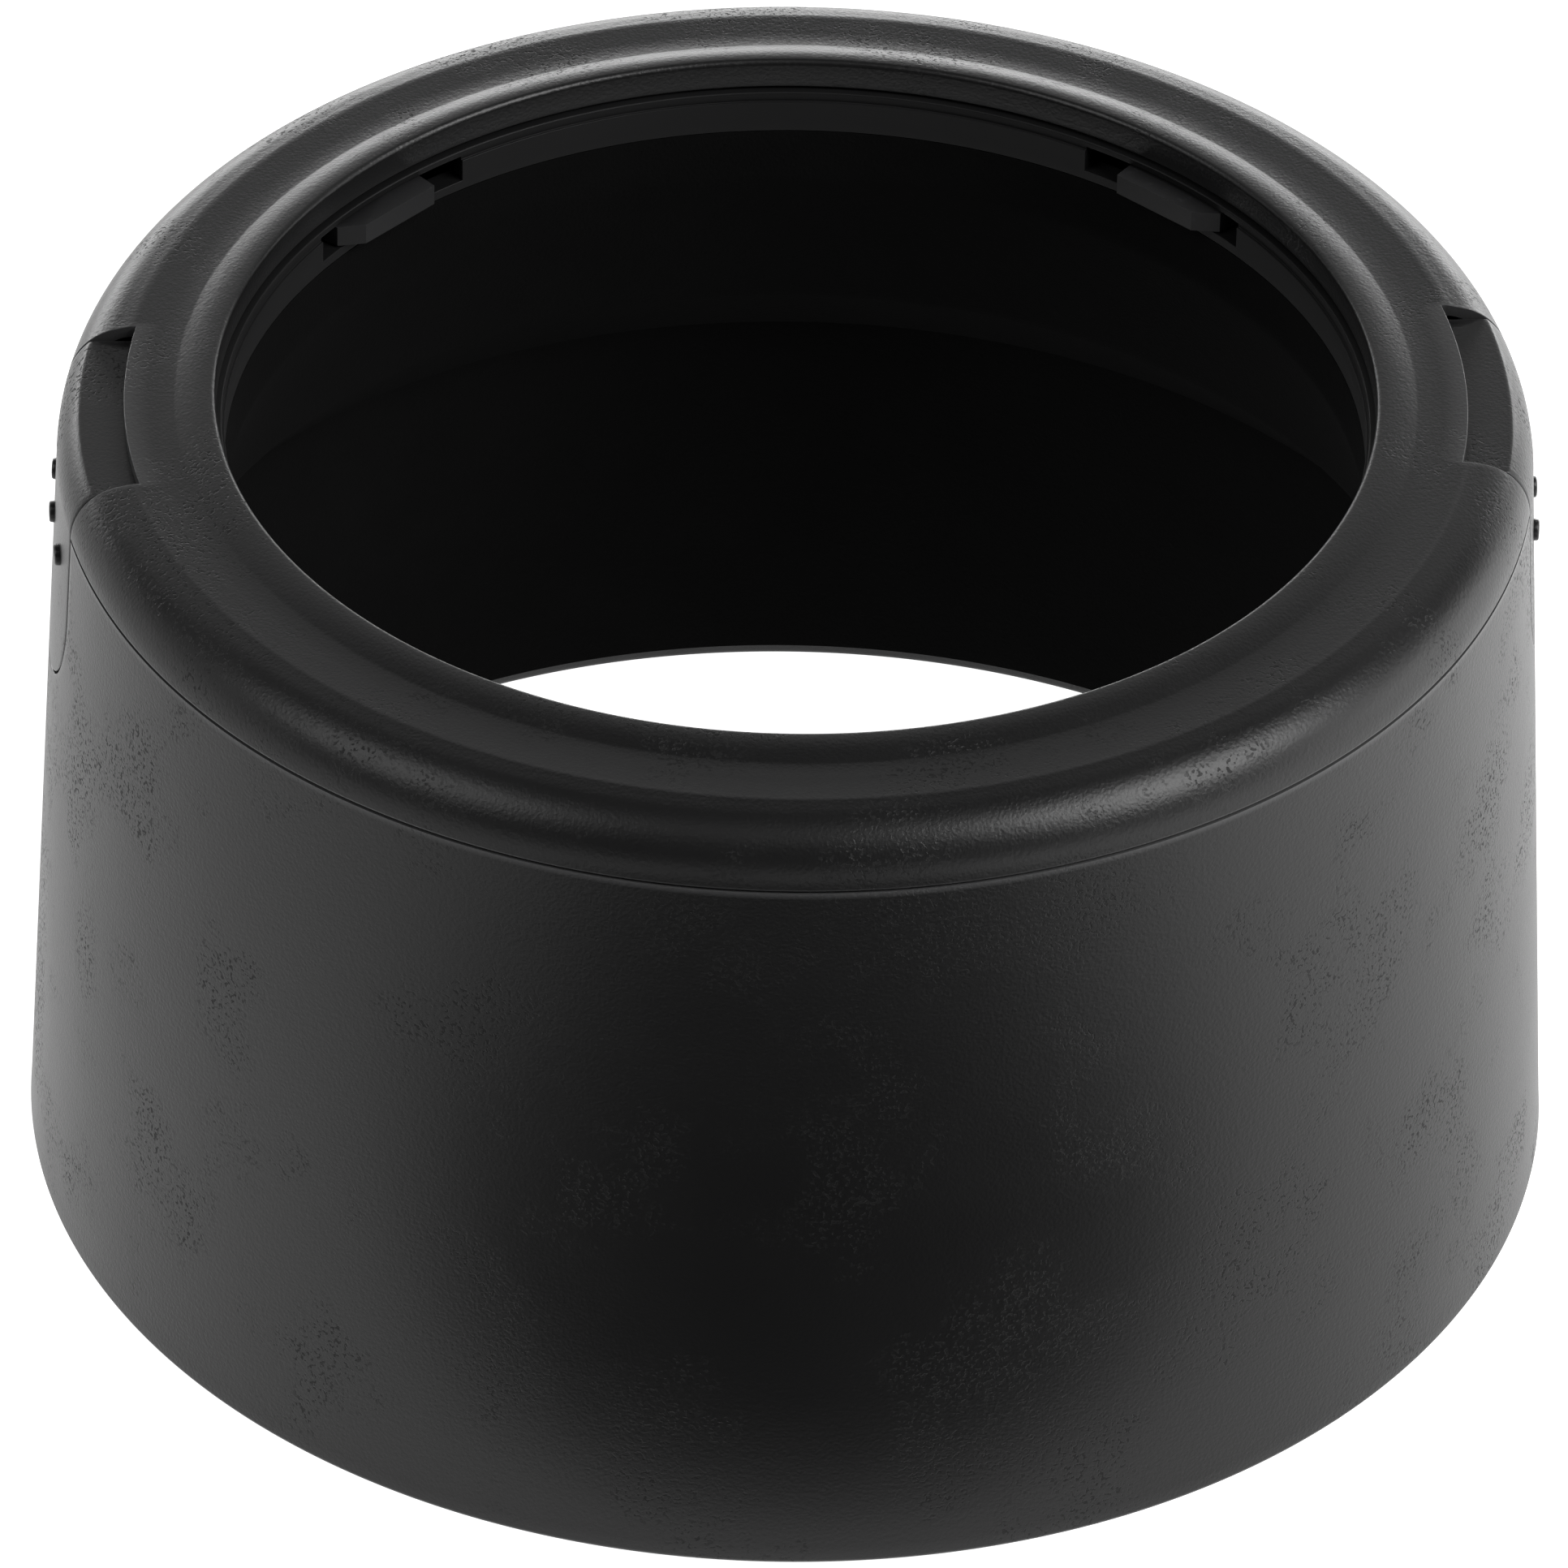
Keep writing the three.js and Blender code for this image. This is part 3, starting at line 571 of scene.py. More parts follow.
def round_edges(made, width, corner):
    """Rounds every edge that turns by more than this many degrees."""
    modifier = made.modifiers.new("bevel", "BEVEL")
    modifier.width = width
    modifier.segments = 2
    modifier.limit_method = "ANGLE"
    modifier.angle_limit = math.radians(corner)
    modifier.harden_normals = True
    settle(made)


def carve(whole, finish, operations):
    """Joins shapes to a piece, or cuts them from it, in the order given."""
    tools = []
    for operation, shape in operations:
        tool = shape.build(f"{whole.name}_tool", finish)
        modifier = whole.modifiers.new(operation.lower(), "BOOLEAN")
        modifier.operation = operation
        modifier.solver = "EXACT"
        modifier.object = tool
        tools.append(tool)
    settle(whole)
    for tool in tools:
        bpy.data.objects.remove(tool)


def mark_edges(made):
    """Stores how strongly the surface turns a corner at each point, which the finishes use for edge wear and,
    on the grained plastic, for a painted highlight along the edges.
    """
    smooth_turn, sharp_turn = 8, 38
    if "edge" in made.data.attributes:
        made.data.attributes.remove(made.data.attributes["edge"])
    work = bmesh.new()
    work.from_mesh(made.data)
    values = []
    for vert in work.verts:
        sharpest = 0.0
        for edge in vert.link_edges:
            if edge.is_manifold and edge.is_convex:
                sharpest = max(sharpest, edge.calc_face_angle(0))
        share = (math.degrees(sharpest) - smooth_turn) / (sharp_turn - smooth_turn)
        values.append(min(1.0, max(0.0, share)))
    work.free()
    attribute = made.data.attributes.new("edge", "FLOAT", "POINT")
    attribute.data.foreach_set("value", values)


def weigh_normals(made):
    """Keeps large faces flat in their shading, so that only the rounded edges bend the light."""
    modifier = made.modifiers.new("weighted_normals", "WEIGHTED_NORMAL")
    modifier.keep_sharp = True
    modifier.weight = 50


def point(radius, angle, z):
    return (radius * math.cos(angle), radius * math.sin(angle), z)


def spread(start, end, steps):
    return [start + (end - start) * i / steps for i in range(steps + 1)]


def on_plane(radius, y, z, side=1):
    """A point of the surface of revolution at this distance from the button axis."""
    return (side * math.sqrt(max(radius * radius - y * y, 0)), y, z)


def ring(radius, z, steps):
    return [point(radius, TURN * i / steps, z) for i in range(steps)]


def hoop(radius, x, y, depth, steps):
    """A circle of points that stands square to the X axis."""
    angles = [TURN * i / steps for i in range(steps)]
    return [(x, y + radius * math.cos(a), at(depth) + radius * math.sin(a)) for a in angles]


def turned(rows, steps):
    """A whole body of revolution from a closed outline of (radius, height)."""
    mesher = Mesher()
    mesher.strip([ring(r, z, steps) for r, z in [*rows, rows[0]]], closed=True)
    return mesher


def refined(rows, longest):
    """An open line of (radius, height) with long stretches divided, so that facets stay nearly square."""
    line = []
    for (r0, z0), (r1, z1) in zip(rows, rows[1:]):
        count = max(1, math.ceil(math.hypot(r1 - r0, z1 - z0) / longest))
        line.extend((r0 + (r1 - r0) * k / count, z0 + (z1 - z0) * k / count) for k in range(count))
    return [*line, rows[-1]]


def edge_turn(steps=3):
    """(offset, depth) shares across a rounded edge, from the surface to the wall."""
    return [(1 - math.sin(a), 1 - math.cos(a)) for a in spread(0, math.pi / 2, steps)]


# ---------------------------------------------------------------- the button's outline

def outline_rows(half, top, arc_steps=26, straight_steps=14):
    """(half-width, height) down one side of the button's outline, from its lowest point up to a height."""
    centre = at(arc_depth)
    rows = []
    for i in range(arc_steps + 1):
        turn = math.pi / 2 * (1 - i / arc_steps)
        rows.append((half * math.cos(turn), centre - half * math.sin(turn)))
    for i in range(1, straight_steps + 1):
        rows.append((half, centre + (top - centre) * i / straight_steps))
    return rows


# ---------------------------------------------------------------- barrel

def make_barrel():
    """The outer cone with its two slots, and the inner cone that closes the release chamber."""
    mesher = Mesher()
    slot = outline_rows(cutout_half + edge_round, barrel_top)
    lowest = slot[0][1]
    rim_inner = rim_radius - barrel_wall
    rim_round = 0.35 * MM

    def side(rows):
        for sign in (1, -1):
            lines = []
            for r, z, half in rows:
                start = math.asin(min(half / r, 1))
                lines.append([point(r, sign * a, z) for a in spread(start, math.pi - start, columns)])
            mesher.strip(lines)

    # Outside, from the rim to the slots' lowest point, beside the slots, and over the top edge.
    rim = [
        (rim_radius - rim_round + rim_round * math.sin(a), rim_round - rim_round * math.cos(a))
        for a in spread(0, math.pi / 2, 5)
    ]
    low_outside = [(r, z, 0) for r, z in rim]
    low_outside += [(outer_wall(z), z, 0) for z in spread(rim_round, lowest, 40)[1:]]
    side(low_outside)
    side([(outer_wall(z), z, half) for half, z in slot])
    half = slot[-1][0]
    side([(outer_wall(barrel_top), barrel_top, half), (inner_wall(barrel_top), barrel_top, half)])
    side([(grooved_wall(z), z, half) for half, z in reversed(slot)])

    # Inside: the chamber floor, the inner cone and the wall down to the rim.
    top = at(flange_bottom + seat_gap)
    chamber_floor = at(flare_end - 1.5 * MM)
    inside = [
        (inner_wall(lowest), lowest),
        (inner_wall(chamber_floor), chamber_floor),
        (cone_outer_end, at(chamber_depth)),
        (lining_recess + cone_wall, top),
        (lining_recess, top),
        (cone_inner_end, at(chamber_depth)),
        (inner_wall(at(flare_end)), at(flare_end)),
        (rim_inner, rim_round),
        (rim_inner + rim_round * 0.3, rim_round * 0.3),
        (rim_inner + rim_round, 0),
    ]
    side([(r, z, 0) for r, z in refined(inside, 2 * MM)])
    side([(rim_inner + rim_round, 0, 0), (rim_radius - rim_round, 0, 0)])

    # The slots' rounded edges and walls.
    turn = edge_turn()
    for end in (1, -1):
        for sign in (1, -1):
            lines = [slot_line(outer_wall, -depth, offset, sign, end) for offset, depth in turn]
            lines += [slot_line(grooved_wall, depth, offset, sign, end) for offset, depth in reversed(turn)]
            mesher.strip(lines)
            mesher.polygon([line[-1] for line in lines])
    return mesher


def slot_line(wall, sink, offset, sign, end):
    """One line along a slot's side, sunk and set off by these shares of the edge's rounding."""
    rows = outline_rows(cutout_half + offset * edge_round, barrel_top)
    return [on_plane(wall(z) + sink * edge_round, sign * half, z, end) for half, z in rows]


# ---------------------------------------------------------------- mount cap

def shoulder(width, depth, share):
    turn = share * math.pi / 2
    return (flat_outer + width * math.sin(turn), seam_height + depth * math.cos(turn))


def crease_drop(r):
    """How far the shoulder lies below its ellipse, so that it leaves the flat at a slope and not level."""
    slope = math.tan(math.radians(13))
    ratio = slope * shoulder_width / shoulder_depth
    tangent = shoulder_width * ratio / math.sqrt(1 + ratio * ratio)
    x = r - flat_outer
    ellipse = shoulder_depth * (1 - math.sqrt(max(1 - (x / shoulder_width) ** 2, 0)))
    settled = slope * tangent - shoulder_depth * (1 - math.sqrt(1 - (tangent / shoulder_width) ** 2))
    if x < tangent:
        return slope * x - ellipse
    return settled * (shoulder_width - x) / (shoulder_width - tangent)


def outer_shoulder(share):
    r, z = shoulder(shoulder_width, shoulder_depth, share)
    return (r, z - crease_drop(r))


def make_cap():
    """The lip, the flat and the shoulder, with a cut-out for each button."""
    mesher = Mesher()
    bead_width = flat_inner - lip_radius
    split = math.asin(cutout_half / cutout_radius)
    underside = at(cap_plate)

    # The whole ring inside the cut-outs, from under the plate round the lip to the flat. The lip rolls out of
    # the bore to its crest and falls to the flat, which it meets in a crease.
    crest = 0.14 * bead_width
    root = 0.3 * bead_rise
    root_ease = 0.2 * MM
    lip = [
        (lip_radius + crest * (1 - math.cos(a)), face_height + root + (bead_rise - root) * math.sin(a))
        for a in spread(0, math.pi / 2, 12)
    ]
    bead = [
        (lip_radius + crest + (bead_width - crest) * s, face_height + bead_rise * math.cos(s * math.pi / 2))
        for s in spread(0, 1, 12)[1:]
    ]
    whole = [
        (cutout_radius, underside),
        (sleeve_outer + root_ease, underside),
        (sleeve_outer, underside - root_ease),
        (sleeve_outer, at(lip_depth) + lip_chamfer),
        (sleeve_outer - lip_chamfer, at(lip_depth)),
        (lip_radius + lip_chamfer, at(lip_depth)),
        (lip_radius, at(lip_depth) + lip_chamfer),
        *lip,
        *bead,
        (flat_inner + (cutout_radius - flat_inner) / 2, face_height),
        (cutout_radius, face_height),
    ]
    back = [(cutout_radius, face_height), (cutout_radius, underside)]
    for end in (0, math.pi):
        for rows in (whole, back):
            mesher.strip([[point(r, end + a, z) for a in spread(-split, split, 32)] for r, z in rows])
    for sign in (1, -1):
        lines = [[point(r, sign * a, z) for a in spread(split, math.pi - split, columns)] for r, z in whole]
        mesher.strip(lines)

    # The shoulder between the cut-outs, over its seam edge and back under the plate.
    edge = 0.14 * MM
    over = [(cutout_radius, face_height), (flat_outer, face_height)]
    over += [outer_shoulder(s) for s in spread(0, 0.965, 28)[1:]]
    over += [(seam_radius, seam_height + edge)]
    over += [(seam_radius - edge * 0.3, seam_height + edge * 0.3), (seam_radius - edge, seam_height)]
    inner_width, inner_depth = shoulder_width - cap_wall, shoulder_depth - cap_plate
    over += [shoulder(inner_width, inner_depth, s) for s in spread(1, 0, 12)]
    over += [(cutout_radius, underside)]
    for sign in (1, -1):
        lines = []
        for r, z in over:
            start = math.asin(cutout_half / r)
            lines.append([point(r, sign * a, z) for a in spread(start, math.pi - start, columns)])
        mesher.strip(lines)
        for end in (1, -1):
            mesher.polygon([on_plane(r, sign * cutout_half, z, end) for r, z in over])
    return mesher


def make_cap_underside():
    """The snap tongues and screw bosses that hang from the cap, out of sight."""
    mesher = Mesher()
    tongue_wall = 0.8 * MM
    tongue_outer = barrel_top_inner - fit_gap
    tongue_inner = tongue_outer - tongue_wall
    tongue_depth = flange_depth - fit_gap
    root_rise = 0.6 * MM
    root_depth = 2.1 * MM
    root_slant = 0.1 * MM
    section = [
        (tongue_inner, at(tongue_depth)),
        (tongue_outer, at(tongue_depth)),
        (tongue_outer, at(snap_depth + snap_rise)),
        (tongue_outer + snap_rise, at(snap_depth)),
        (tongue_outer, at(snap_depth - snap_rise)),
        (tongue_outer, seam_height - 2 * skim),
        (tongue_outer, seam_height + root_rise),
        (tongue_inner + root_slant, at(root_depth - 2 * root_slant)),
        (tongue_inner, at(root_depth)),
    ]
    span = math.radians(33)
    for middle in (math.pi / 2, -math.pi / 2):
        angles = spread(middle - span, middle + span, 60)
        mesher.strip([[point(r, a, z) for r, z in section] for a in angles], closed=True)
        for a in (angles[0], angles[-1]):
            mesher.polygon([point(r, a, z) for r, z in section])
    outer = (band_inner - sleeve_outer) / 2 - yoke_shift * math.sin(screw_aside) - fit_gap
    hole = 0.9 * MM
    foot = at(flange_depth - seat_gap)
    head = at(cap_plate + 2 * skim)
    boss = [(hole, foot), (outer, foot), (outer, head), (hole, head)]
    for angle in screw_angles:
        mesher.add(turned(boss, 40), Matrix.Translation(point(screw_circle, angle, 0)))
    return mesher


# ---------------------------------------------------------------- claw ring

def sleeve_mesher():
    """The sleeve with its ledge and four windows."""
    mesher = Mesher()
    window_top = at(claw_top - fit_gap)
    window_bottom = at(claw_top + claw_wall + fit_gap)
    bore = sleeve_radius
    mouth = bore + ledge_step
    starts = (window_from, math.pi - window_to, math.pi + window_from, TURN - window_to)
    windows = [(start, start + window_to - window_from) for start in starts]

    # Columns are even, except that each window's sides fall on a column.
    stops = [side for window in windows for side in window]
    columns_here = []
    for k, (start, end) in enumerate(zip(stops, [*stops[1:], stops[0] + TURN])):
        count = round((end - start) / math.radians(0.75))
        for i in range(count):
            ends = (start + (end - start) * i / count, start + (end - start) * (i + 1) / count)
            columns_here.append((*ends, k % 2 == 0))

    def band(rows, windowed=False):
        for (r0, z0), (r1, z1) in zip(rows, rows[1:]):
            for a, b, in_window in columns_here:
                if not (windowed and in_window):
                    mesher.polygon([point(r0, a, z0), point(r0, b, z0), point(r1, b, z1), point(r1, a, z1)])

    # The bore side, top to bottom. A window cuts both the mouth and the bore below it.
    ledge_edge = 0.06 * MM
    band([(mouth + ledge_edge, at(ledge_depth)), (mouth, at(ledge_depth) - ledge_edge), (mouth, window_top)])
    step = [(mouth, at(mouth_depth)), (bore, at(mouth_depth))]
    band([(mouth, window_top), *step, (bore, window_bottom)], windowed=True)
    band([
        (bore, window_bottom),
        (bore, at(sleeve_bottom - seat_gap)),
        (lining_recess, at(sleeve_bottom - seat_gap)),
        (lining_recess, at(flange_bottom)),
        (sleeve_outer, at(flange_bottom)),
        (sleeve_outer, window_bottom),
    ])
    band([(sleeve_outer, window_bottom), (sleeve_outer, window_top)], windowed=True)
    band([(sleeve_outer, window_top), (sleeve_outer, at(ledge_depth)), (mouth + ledge_edge, at(ledge_depth))])

    # Each window's sill, head and sides.
    for a, b, in_window in columns_here:
        if in_window:
            sill = [(bore, window_bottom), (sleeve_outer, window_bottom)]
            head = [(mouth, window_top), (sleeve_outer, window_top)]
            for (r0, z0), (r1, z1) in (sill, head):
                mesher.polygon([point(r0, a, z0), point(r1, a, z1), point(r1, b, z1), point(r0, b, z0)])
    section = [
        (mouth, window_top),
        (mouth, at(mouth_depth)),
        (bore, at(mouth_depth)),
        (bore, window_bottom),
        (sleeve_outer, window_bottom),
        (sleeve_outer, window_top),
    ]
    for angle in stops:
        mesher.polygon([point(r, angle, z) for r, z in section])
    return mesher


# ---------------------------------------------------------------- solid pieces from plans

def plan_arc(radius, start, end, steps, centre=0.0):
    return [(centre + radius * math.cos(a), radius * math.sin(a)) for a in spread(start, end, steps)]


def slab(outline, top_depth, bottom_depth):
    """A plan outline as a closed plate between two depths."""
    mesher = Mesher()
    lines = [[(x, y, at(depth)) for x, y in outline] for depth in (bottom_depth, top_depth)]
    mesher.strip(lines, closed=True)
    for line in lines:
        mesher.polygon(line)
    return mesher


def block(x0, x1, y0, y1, top_depth, bottom_depth):
    return slab([(x0, y0), (x1, y0), (x1, y1), (x0, y1)], top_depth, bottom_depth)


def rod(radius, x0, x1, y, depth):
    """A round bar along X."""
    mesher = Mesher()
    lines = [hoop(radius, x, y, depth, 32) for x in (x0, x1)]
    mesher.strip(lines, closed=True)
    for line in lines:
        mesher.polygon(line)
    return mesher


def fused(name, finish, shapes, cutters=(), bevel=0.06 * MM):
    """Joins closed shapes into one body, cuts others from it and eases its edges."""
    whole = shapes[0].build(name, finish)
    operations = [("UNION", shape) for shape in shapes[1:]] + [("DIFFERENCE", shape) for shape in cutters]
    carve(whole, finish, operations)
    round_edges(whole, bevel, 32)
    for polygon in whole.data.polygons:
        polygon.use_smooth = True
    mark_edges(whole)
    return whole


def half_turn(made):
    """Turns a piece drawn for the right button round to the left one."""
    made.data.transform(Matrix.Rotation(math.pi, 4, "Z"))
    return made


def cylinder(radius, angle, ring_radius, top_depth, bottom_depth):
    """An upright cylinder at a place on a circle round the bore."""
    middle = Vector(point(ring_radius, angle, 0))
    outline = [(middle.x + x, middle.y + y) for x, y, _ in ring(radius, 0, 40)]
    return slab(outline, top_depth, bottom_depth)


def make_flange():
    """The flange round the sleeve's foot, with the blocks and spring seats that the yokes run between."""
    flange_radius = barrel_top_inner - 3 * fit_gap
    sunk = 0.4 * MM
    plate = turned([
        (sleeve_outer - sunk, at(flange_bottom - skim)),
        (flange_radius, at(flange_bottom - skim)),
        (flange_radius, at(flange_depth)),
        (sleeve_outer - sunk, at(flange_depth)),
    ], columns)
    block_bottom = flange_depth + flange_wall / 2
    guide_outer = math.sqrt(band_inner ** 2 - (guide_half + yoke_shift) ** 2) - fit_gap
    shapes = [plate]
    for near, far in ((sleeve_outer - sunk, guide_outer), (-guide_outer, sunk - sleeve_outer)):
        shapes.append(block(-guide_half, guide_half, near, far, claw_top, block_bottom))
    seat_half = pad_half - spring_offset
    for side, top in ((1, lower_band), (-1, upper_band)):
        for y in (-spring_offset, spring_offset):
            ends = sorted((side * (sleeve_outer - sunk), side * spring_seat))
            peg = sorted((side * (spring_seat - sunk), side * (spring_seat + peg_length)))
            shapes.append(block(*ends, y - seat_half, y + seat_half, top, block_bottom))
            shapes.append(rod(peg_radius, *peg, y, top + yoke_wall / 2))
    past = 1 * MM
    cutters = [
        cylinder(screw_radius + fit_gap, angle, screw_circle, flange_depth - past, flange_bottom + past)
        for angle in screw_angles
    ]
    notch_clearance = 0.25 * MM
    notch = pad_outer - travel - notch_clearance
    notch_half = cutout_half + button_lip + 2 * fit_gap
    for near, far in ((notch, flange_radius + past), (-flange_radius - past, -notch)):
        cutters.append(block(near, far, -notch_half, notch_half, flange_depth - past, flange_bottom + past))
    return fused("claw_flange", "plain_plastic", shapes, cutters, bevel=0.05 * MM)


# ---------------------------------------------------------------- yokes

def make_yoke(name, band_top, turned_round):
    """A C-shaped band with the button's pad at its middle and a claw arm near each end."""
    band_bottom = band_top + yoke_wall
    end = math.pi - yoke_end
    band = plan_arc(band_outer, -end, end, 150, yoke_shift) + plan_arc(band_inner, end, -end, 150, yoke_shift)
    band_middle = band_outer + yoke_shift - band_wall / 2
    pad = block(pad_inner, band_middle, -pad_half, pad_half, band_top, band_bottom)
    edge = sleeve_radius - claw_reach
    mid_post = post_inner + band_wall / 2
    near, far = math.pi - claw_root_from, math.pi - claw_edge_to

    def polar(radius, angle):
        return (radius * math.cos(angle), radius * math.sin(angle))

    claw = [
        polar(edge / math.cos(claw_angle - claw_edge_from), math.pi - claw_edge_from),
        polar(sleeve_radius + ledge_step, near),
        polar(mid_post, near),
        polar(mid_post, far),
        polar(edge / math.cos(claw_edge_to - claw_angle), far),
    ]
    upright = plan_arc(post_inner, far, near, 8) + plan_arc(post_outer, near, far, 8)
    foot_reach = band_inner - yoke_shift * math.cos(claw_angle) + band_wall / 2
    foot = plan_arc(mid_post, far, near, 8) + plan_arc(foot_reach, near, far, 8)
    shapes = [slab(band, band_top, band_bottom), pad]
    for sign in (1, -1):
        for plan, top_depth, bottom_depth in (
            (upright, cap_plate + fit_gap, band_bottom),
            (foot, band_top + skim, band_bottom - skim),
            (claw, claw_top, claw_top + claw_wall),
        ):
            shapes.append(slab([(x, sign * y) for x, y in plan], top_depth, bottom_depth))
    past = 2 * MM
    above, below = band_top - past, band_bottom + past
    spring_slot_half = 1.1 * MM
    boss_slot_half = 1.45 * MM
    screw_hole = 0.7 * MM
    cutters = []
    for y in (-spring_offset, spring_offset):
        slot = (y - spring_slot_half, y + spring_slot_half)
        cutters.append(block(pad_inner - past, pad_inner + spring_slot_depth, *slot, above, below))
    cutters.append(block(pad_outer, pad_outer + 2 * past, -boss_slot_half, boss_slot_half, above, below))
    cutters.append(rod(screw_hole, pad_inner - past, pad_outer + past, 0, band_top + yoke_wall / 2))
    made = fused(name, "yoke_plastic", shapes, cutters)
    return half_turn(made) if turned_round else made


# ---------------------------------------------------------------- buttons

def button_mesher(band_top):
    """The button's skin and top plate, drawn on +X with rounded edges all round.

    The skin is thinner where the yoke's band passes behind it.
    """
    mesher = Mesher()
    share = math.acos((shoulder_depth - button_drop) / shoulder_depth) / (math.pi / 2)
    top_edge = shoulder(shoulder_width, shoulder_depth, share)[0]
    band_clear = band_outer + yoke_shift + fit_gap

    def behind(r, z):
        depth = face_height - z
        beside_band = band_top - fit_gap < depth < band_top + yoke_wall + fit_gap
        return (max(r, band_clear), z) if beside_band else (r, z)

    # The skin turns into the top plate over a flattened quarter round.
    crown = 0.3 * MM
    crown_drop = 0.25 * crown
    crown_start = 0.06 * MM - crown
    past_corner = 0.05
    inner_width = shoulder_width - button_wall
    inner_depth = shoulder_depth - button_drop - plate_wall

    def surfaces(offset):
        """Matching rows of the outer and inner surface as (outer point, inner point, half-width)."""
        rows = []
        for half, z in outline_rows(button_half - offset, seam_height):
            rows.append(((outer_wall(z), z), behind(outer_wall(z) - button_wall, z), half))
        half = button_half - offset
        for s in spread(1, share + past_corner, 14)[1:]:
            inner = behind(*shoulder(inner_width, inner_depth, s))
            rows.append((outer_shoulder(s), inner, half))
        inner_end = Vector(shoulder(inner_width, inner_depth, share + past_corner))
        plate_corner = Vector((flat_outer, at(button_drop + plate_wall)))
        for a in spread(0, math.pi / 2, 4)[1:]:
            r = top_edge + crown_start + crown * math.cos(a) * 0.9
            z = at(button_drop) - crown_drop * (1 - math.sin(a))
            rows.append(((r, z), tuple(inner_end.lerp(plate_corner, a / (math.pi / 2))), half))
        for r in spread(flat_outer, plate_inner, 4):
            rows.append(((r, at(button_drop)), (r, at(button_drop + plate_wall)), half))
        return rows

    grid = surfaces(edge_round)
    for k in (0, 1):
        lines = []
        for row in grid:
            r, z = row[k]
            reach = math.asin(min(row[2] / r, 1))
            lines.append([point(r, a, z) for a in spread(-reach, reach, 40)])
        mesher.strip(lines)
    end = [grid[-1][0], grid[-1][1]]
    reach = math.asin(grid[-1][2] / plate_inner)
    mesher.strip([[point(r, a, z) for a in spread(-reach, reach, 40)] for r, z in end])

    # Side walls, with the outer edge rounded.
    for sign in (1, -1):
        lines = []
        for offset, depth in edge_turn():
            rows = surfaces(offset * edge_round)
            lines.append(sunk_line(rows, depth * edge_round, sign))
        rows = surfaces(0)
        lines.append([on_plane(inner[0], sign * half, inner[1]) for _, inner, half in rows])
        lines.append([on_plane(inner[0], sign * half, inner[1]) for _, inner, half in grid])
        mesher.strip(lines)
        mesher.polygon([line[-1] for line in lines])
    return mesher


def sunk_line(rows, sink, sign):
    """The outer boundary of the button, sunk below the surface by this much."""
    line = []
    for (outer, inner, half) in rows:
        toward = Vector((inner[0] - outer[0], inner[1] - outer[1])).normalized() * sink
        line.append(on_plane(outer[0] + toward.x, sign * half, outer[1] + toward.y))
    return line


def pip_mesher(angle):
    """One raised pip with an eased top, standing square to the surface."""
    surface = outer_wall(at(pip_depth))
    root = 0.5 * MM
    ease = 0.12 * MM
    crown = 0.02 * MM
    top_radius = 0.96 * pip_radius
    outline = [(0, -root), (pip_radius, -root), (pip_radius, 0), (top_radius, pip_rise - ease)]
    for a in spread(0, math.pi / 2, 5):
        outline.append((top_radius - ease + ease * math.cos(a), pip_rise - ease + ease * math.sin(a)))
    outline += [(0.4 * pip_radius, pip_rise + 0.75 * crown), (0, pip_rise + crown)]
    flat = Mesher()
    flat.strip([ring(r, z, 40) for r, z in outline], closed=True)
    matrix = (
        Matrix.Rotation(angle, 4, "Z")
        @ Matrix.Translation((surface, 0, at(pip_depth)))
        @ Matrix.Rotation(math.pi / 2, 4, "Y")
    )
    made = Mesher()
    made.add(flat, matrix)
    return made


def make_button(name, band_top, turned_round):
    """The button with its pips, the retaining flange behind the barrel wall and the screw boss."""
    mesher = button_mesher(band_top)
    for angle in (-pip_pitch, 0, pip_pitch):
        mesher.add(pip_mesher(angle))
    mesher.add(flange_mesher())
    middle = band_top + yoke_wall / 2
    hole, outer = 0.62 * MM, 1.3 * MM
    start, end = pad_outer + seat_gap, seam_radius - button_wall * 0.6
    boss = [(outer, start), (outer, end), (hole, end), (hole, start), (outer, start)]
    mesher.strip([hoop(r, x, 0, middle, 40) for r, x in boss], closed=True)
    made = mesher.build(name, "grained_plastic")
    weigh_normals(made)
    return half_turn(made) if turned_round else made


def flange_mesher():
    """The lip behind the barrel wall that keeps the button from falling out."""
    mesher = Mesher()
    top = at(8 * MM)
    wide = cutout_half + button_lip

    def rows(sink):
        return [(inner_wall(z) - fit_gap - sink, z, half) for half, z in outline_rows(wide, top, 20, 2)]

    faces = (rows(0), rows(1 * MM))
    for face in faces:
        lines = []
        for r, z, half in face:
            reach = math.asin(min(half / r, 1))
            lines.append([point(r, a, z) for a in spread(-reach, reach, 24)])
        mesher.strip(lines)
    for sign in (1, -1):
        mesher.strip([[on_plane(r, sign * half, z) for r, z, half in face] for face in faces])
    ends = []
    for face in faces:
        r, z, half = face[-1]
        reach = math.asin(half / r)
        ends.append([point(r, a, z) for a in spread(-reach, reach, 24)])
    mesher.strip(ends)
    return mesher


# ---------------------------------------------------------------- lining

def lining(name, path):
    """A flocked strip: a closed skin along a line of (radius, height), with its pile standing unevenly."""
    line = [Vector(p) for p in path]
    normals = []
    for a, b in zip(line, line[1:]):
        along = (b - a).normalized()
        normals.append(Vector((along.y, -along.x)))
    inner = []
    for i, p in enumerate(line):
        before, after = normals[max(i - 1, 0)], normals[min(i, len(normals) - 1)]
        mitre = (before + after).normalized()
        inner.append(p + mitre * (lining_wall / mitre.dot(after)))
    outline = [tuple(p) for p in line] + [tuple(p) for p in reversed(inner)]
    made = turned(refined([*outline, outline[0]], 0.45 * MM)[:-1], 600).build(name, "flock")
    ruffle(made, {round(p[1], 7) for p in outline})
    return made


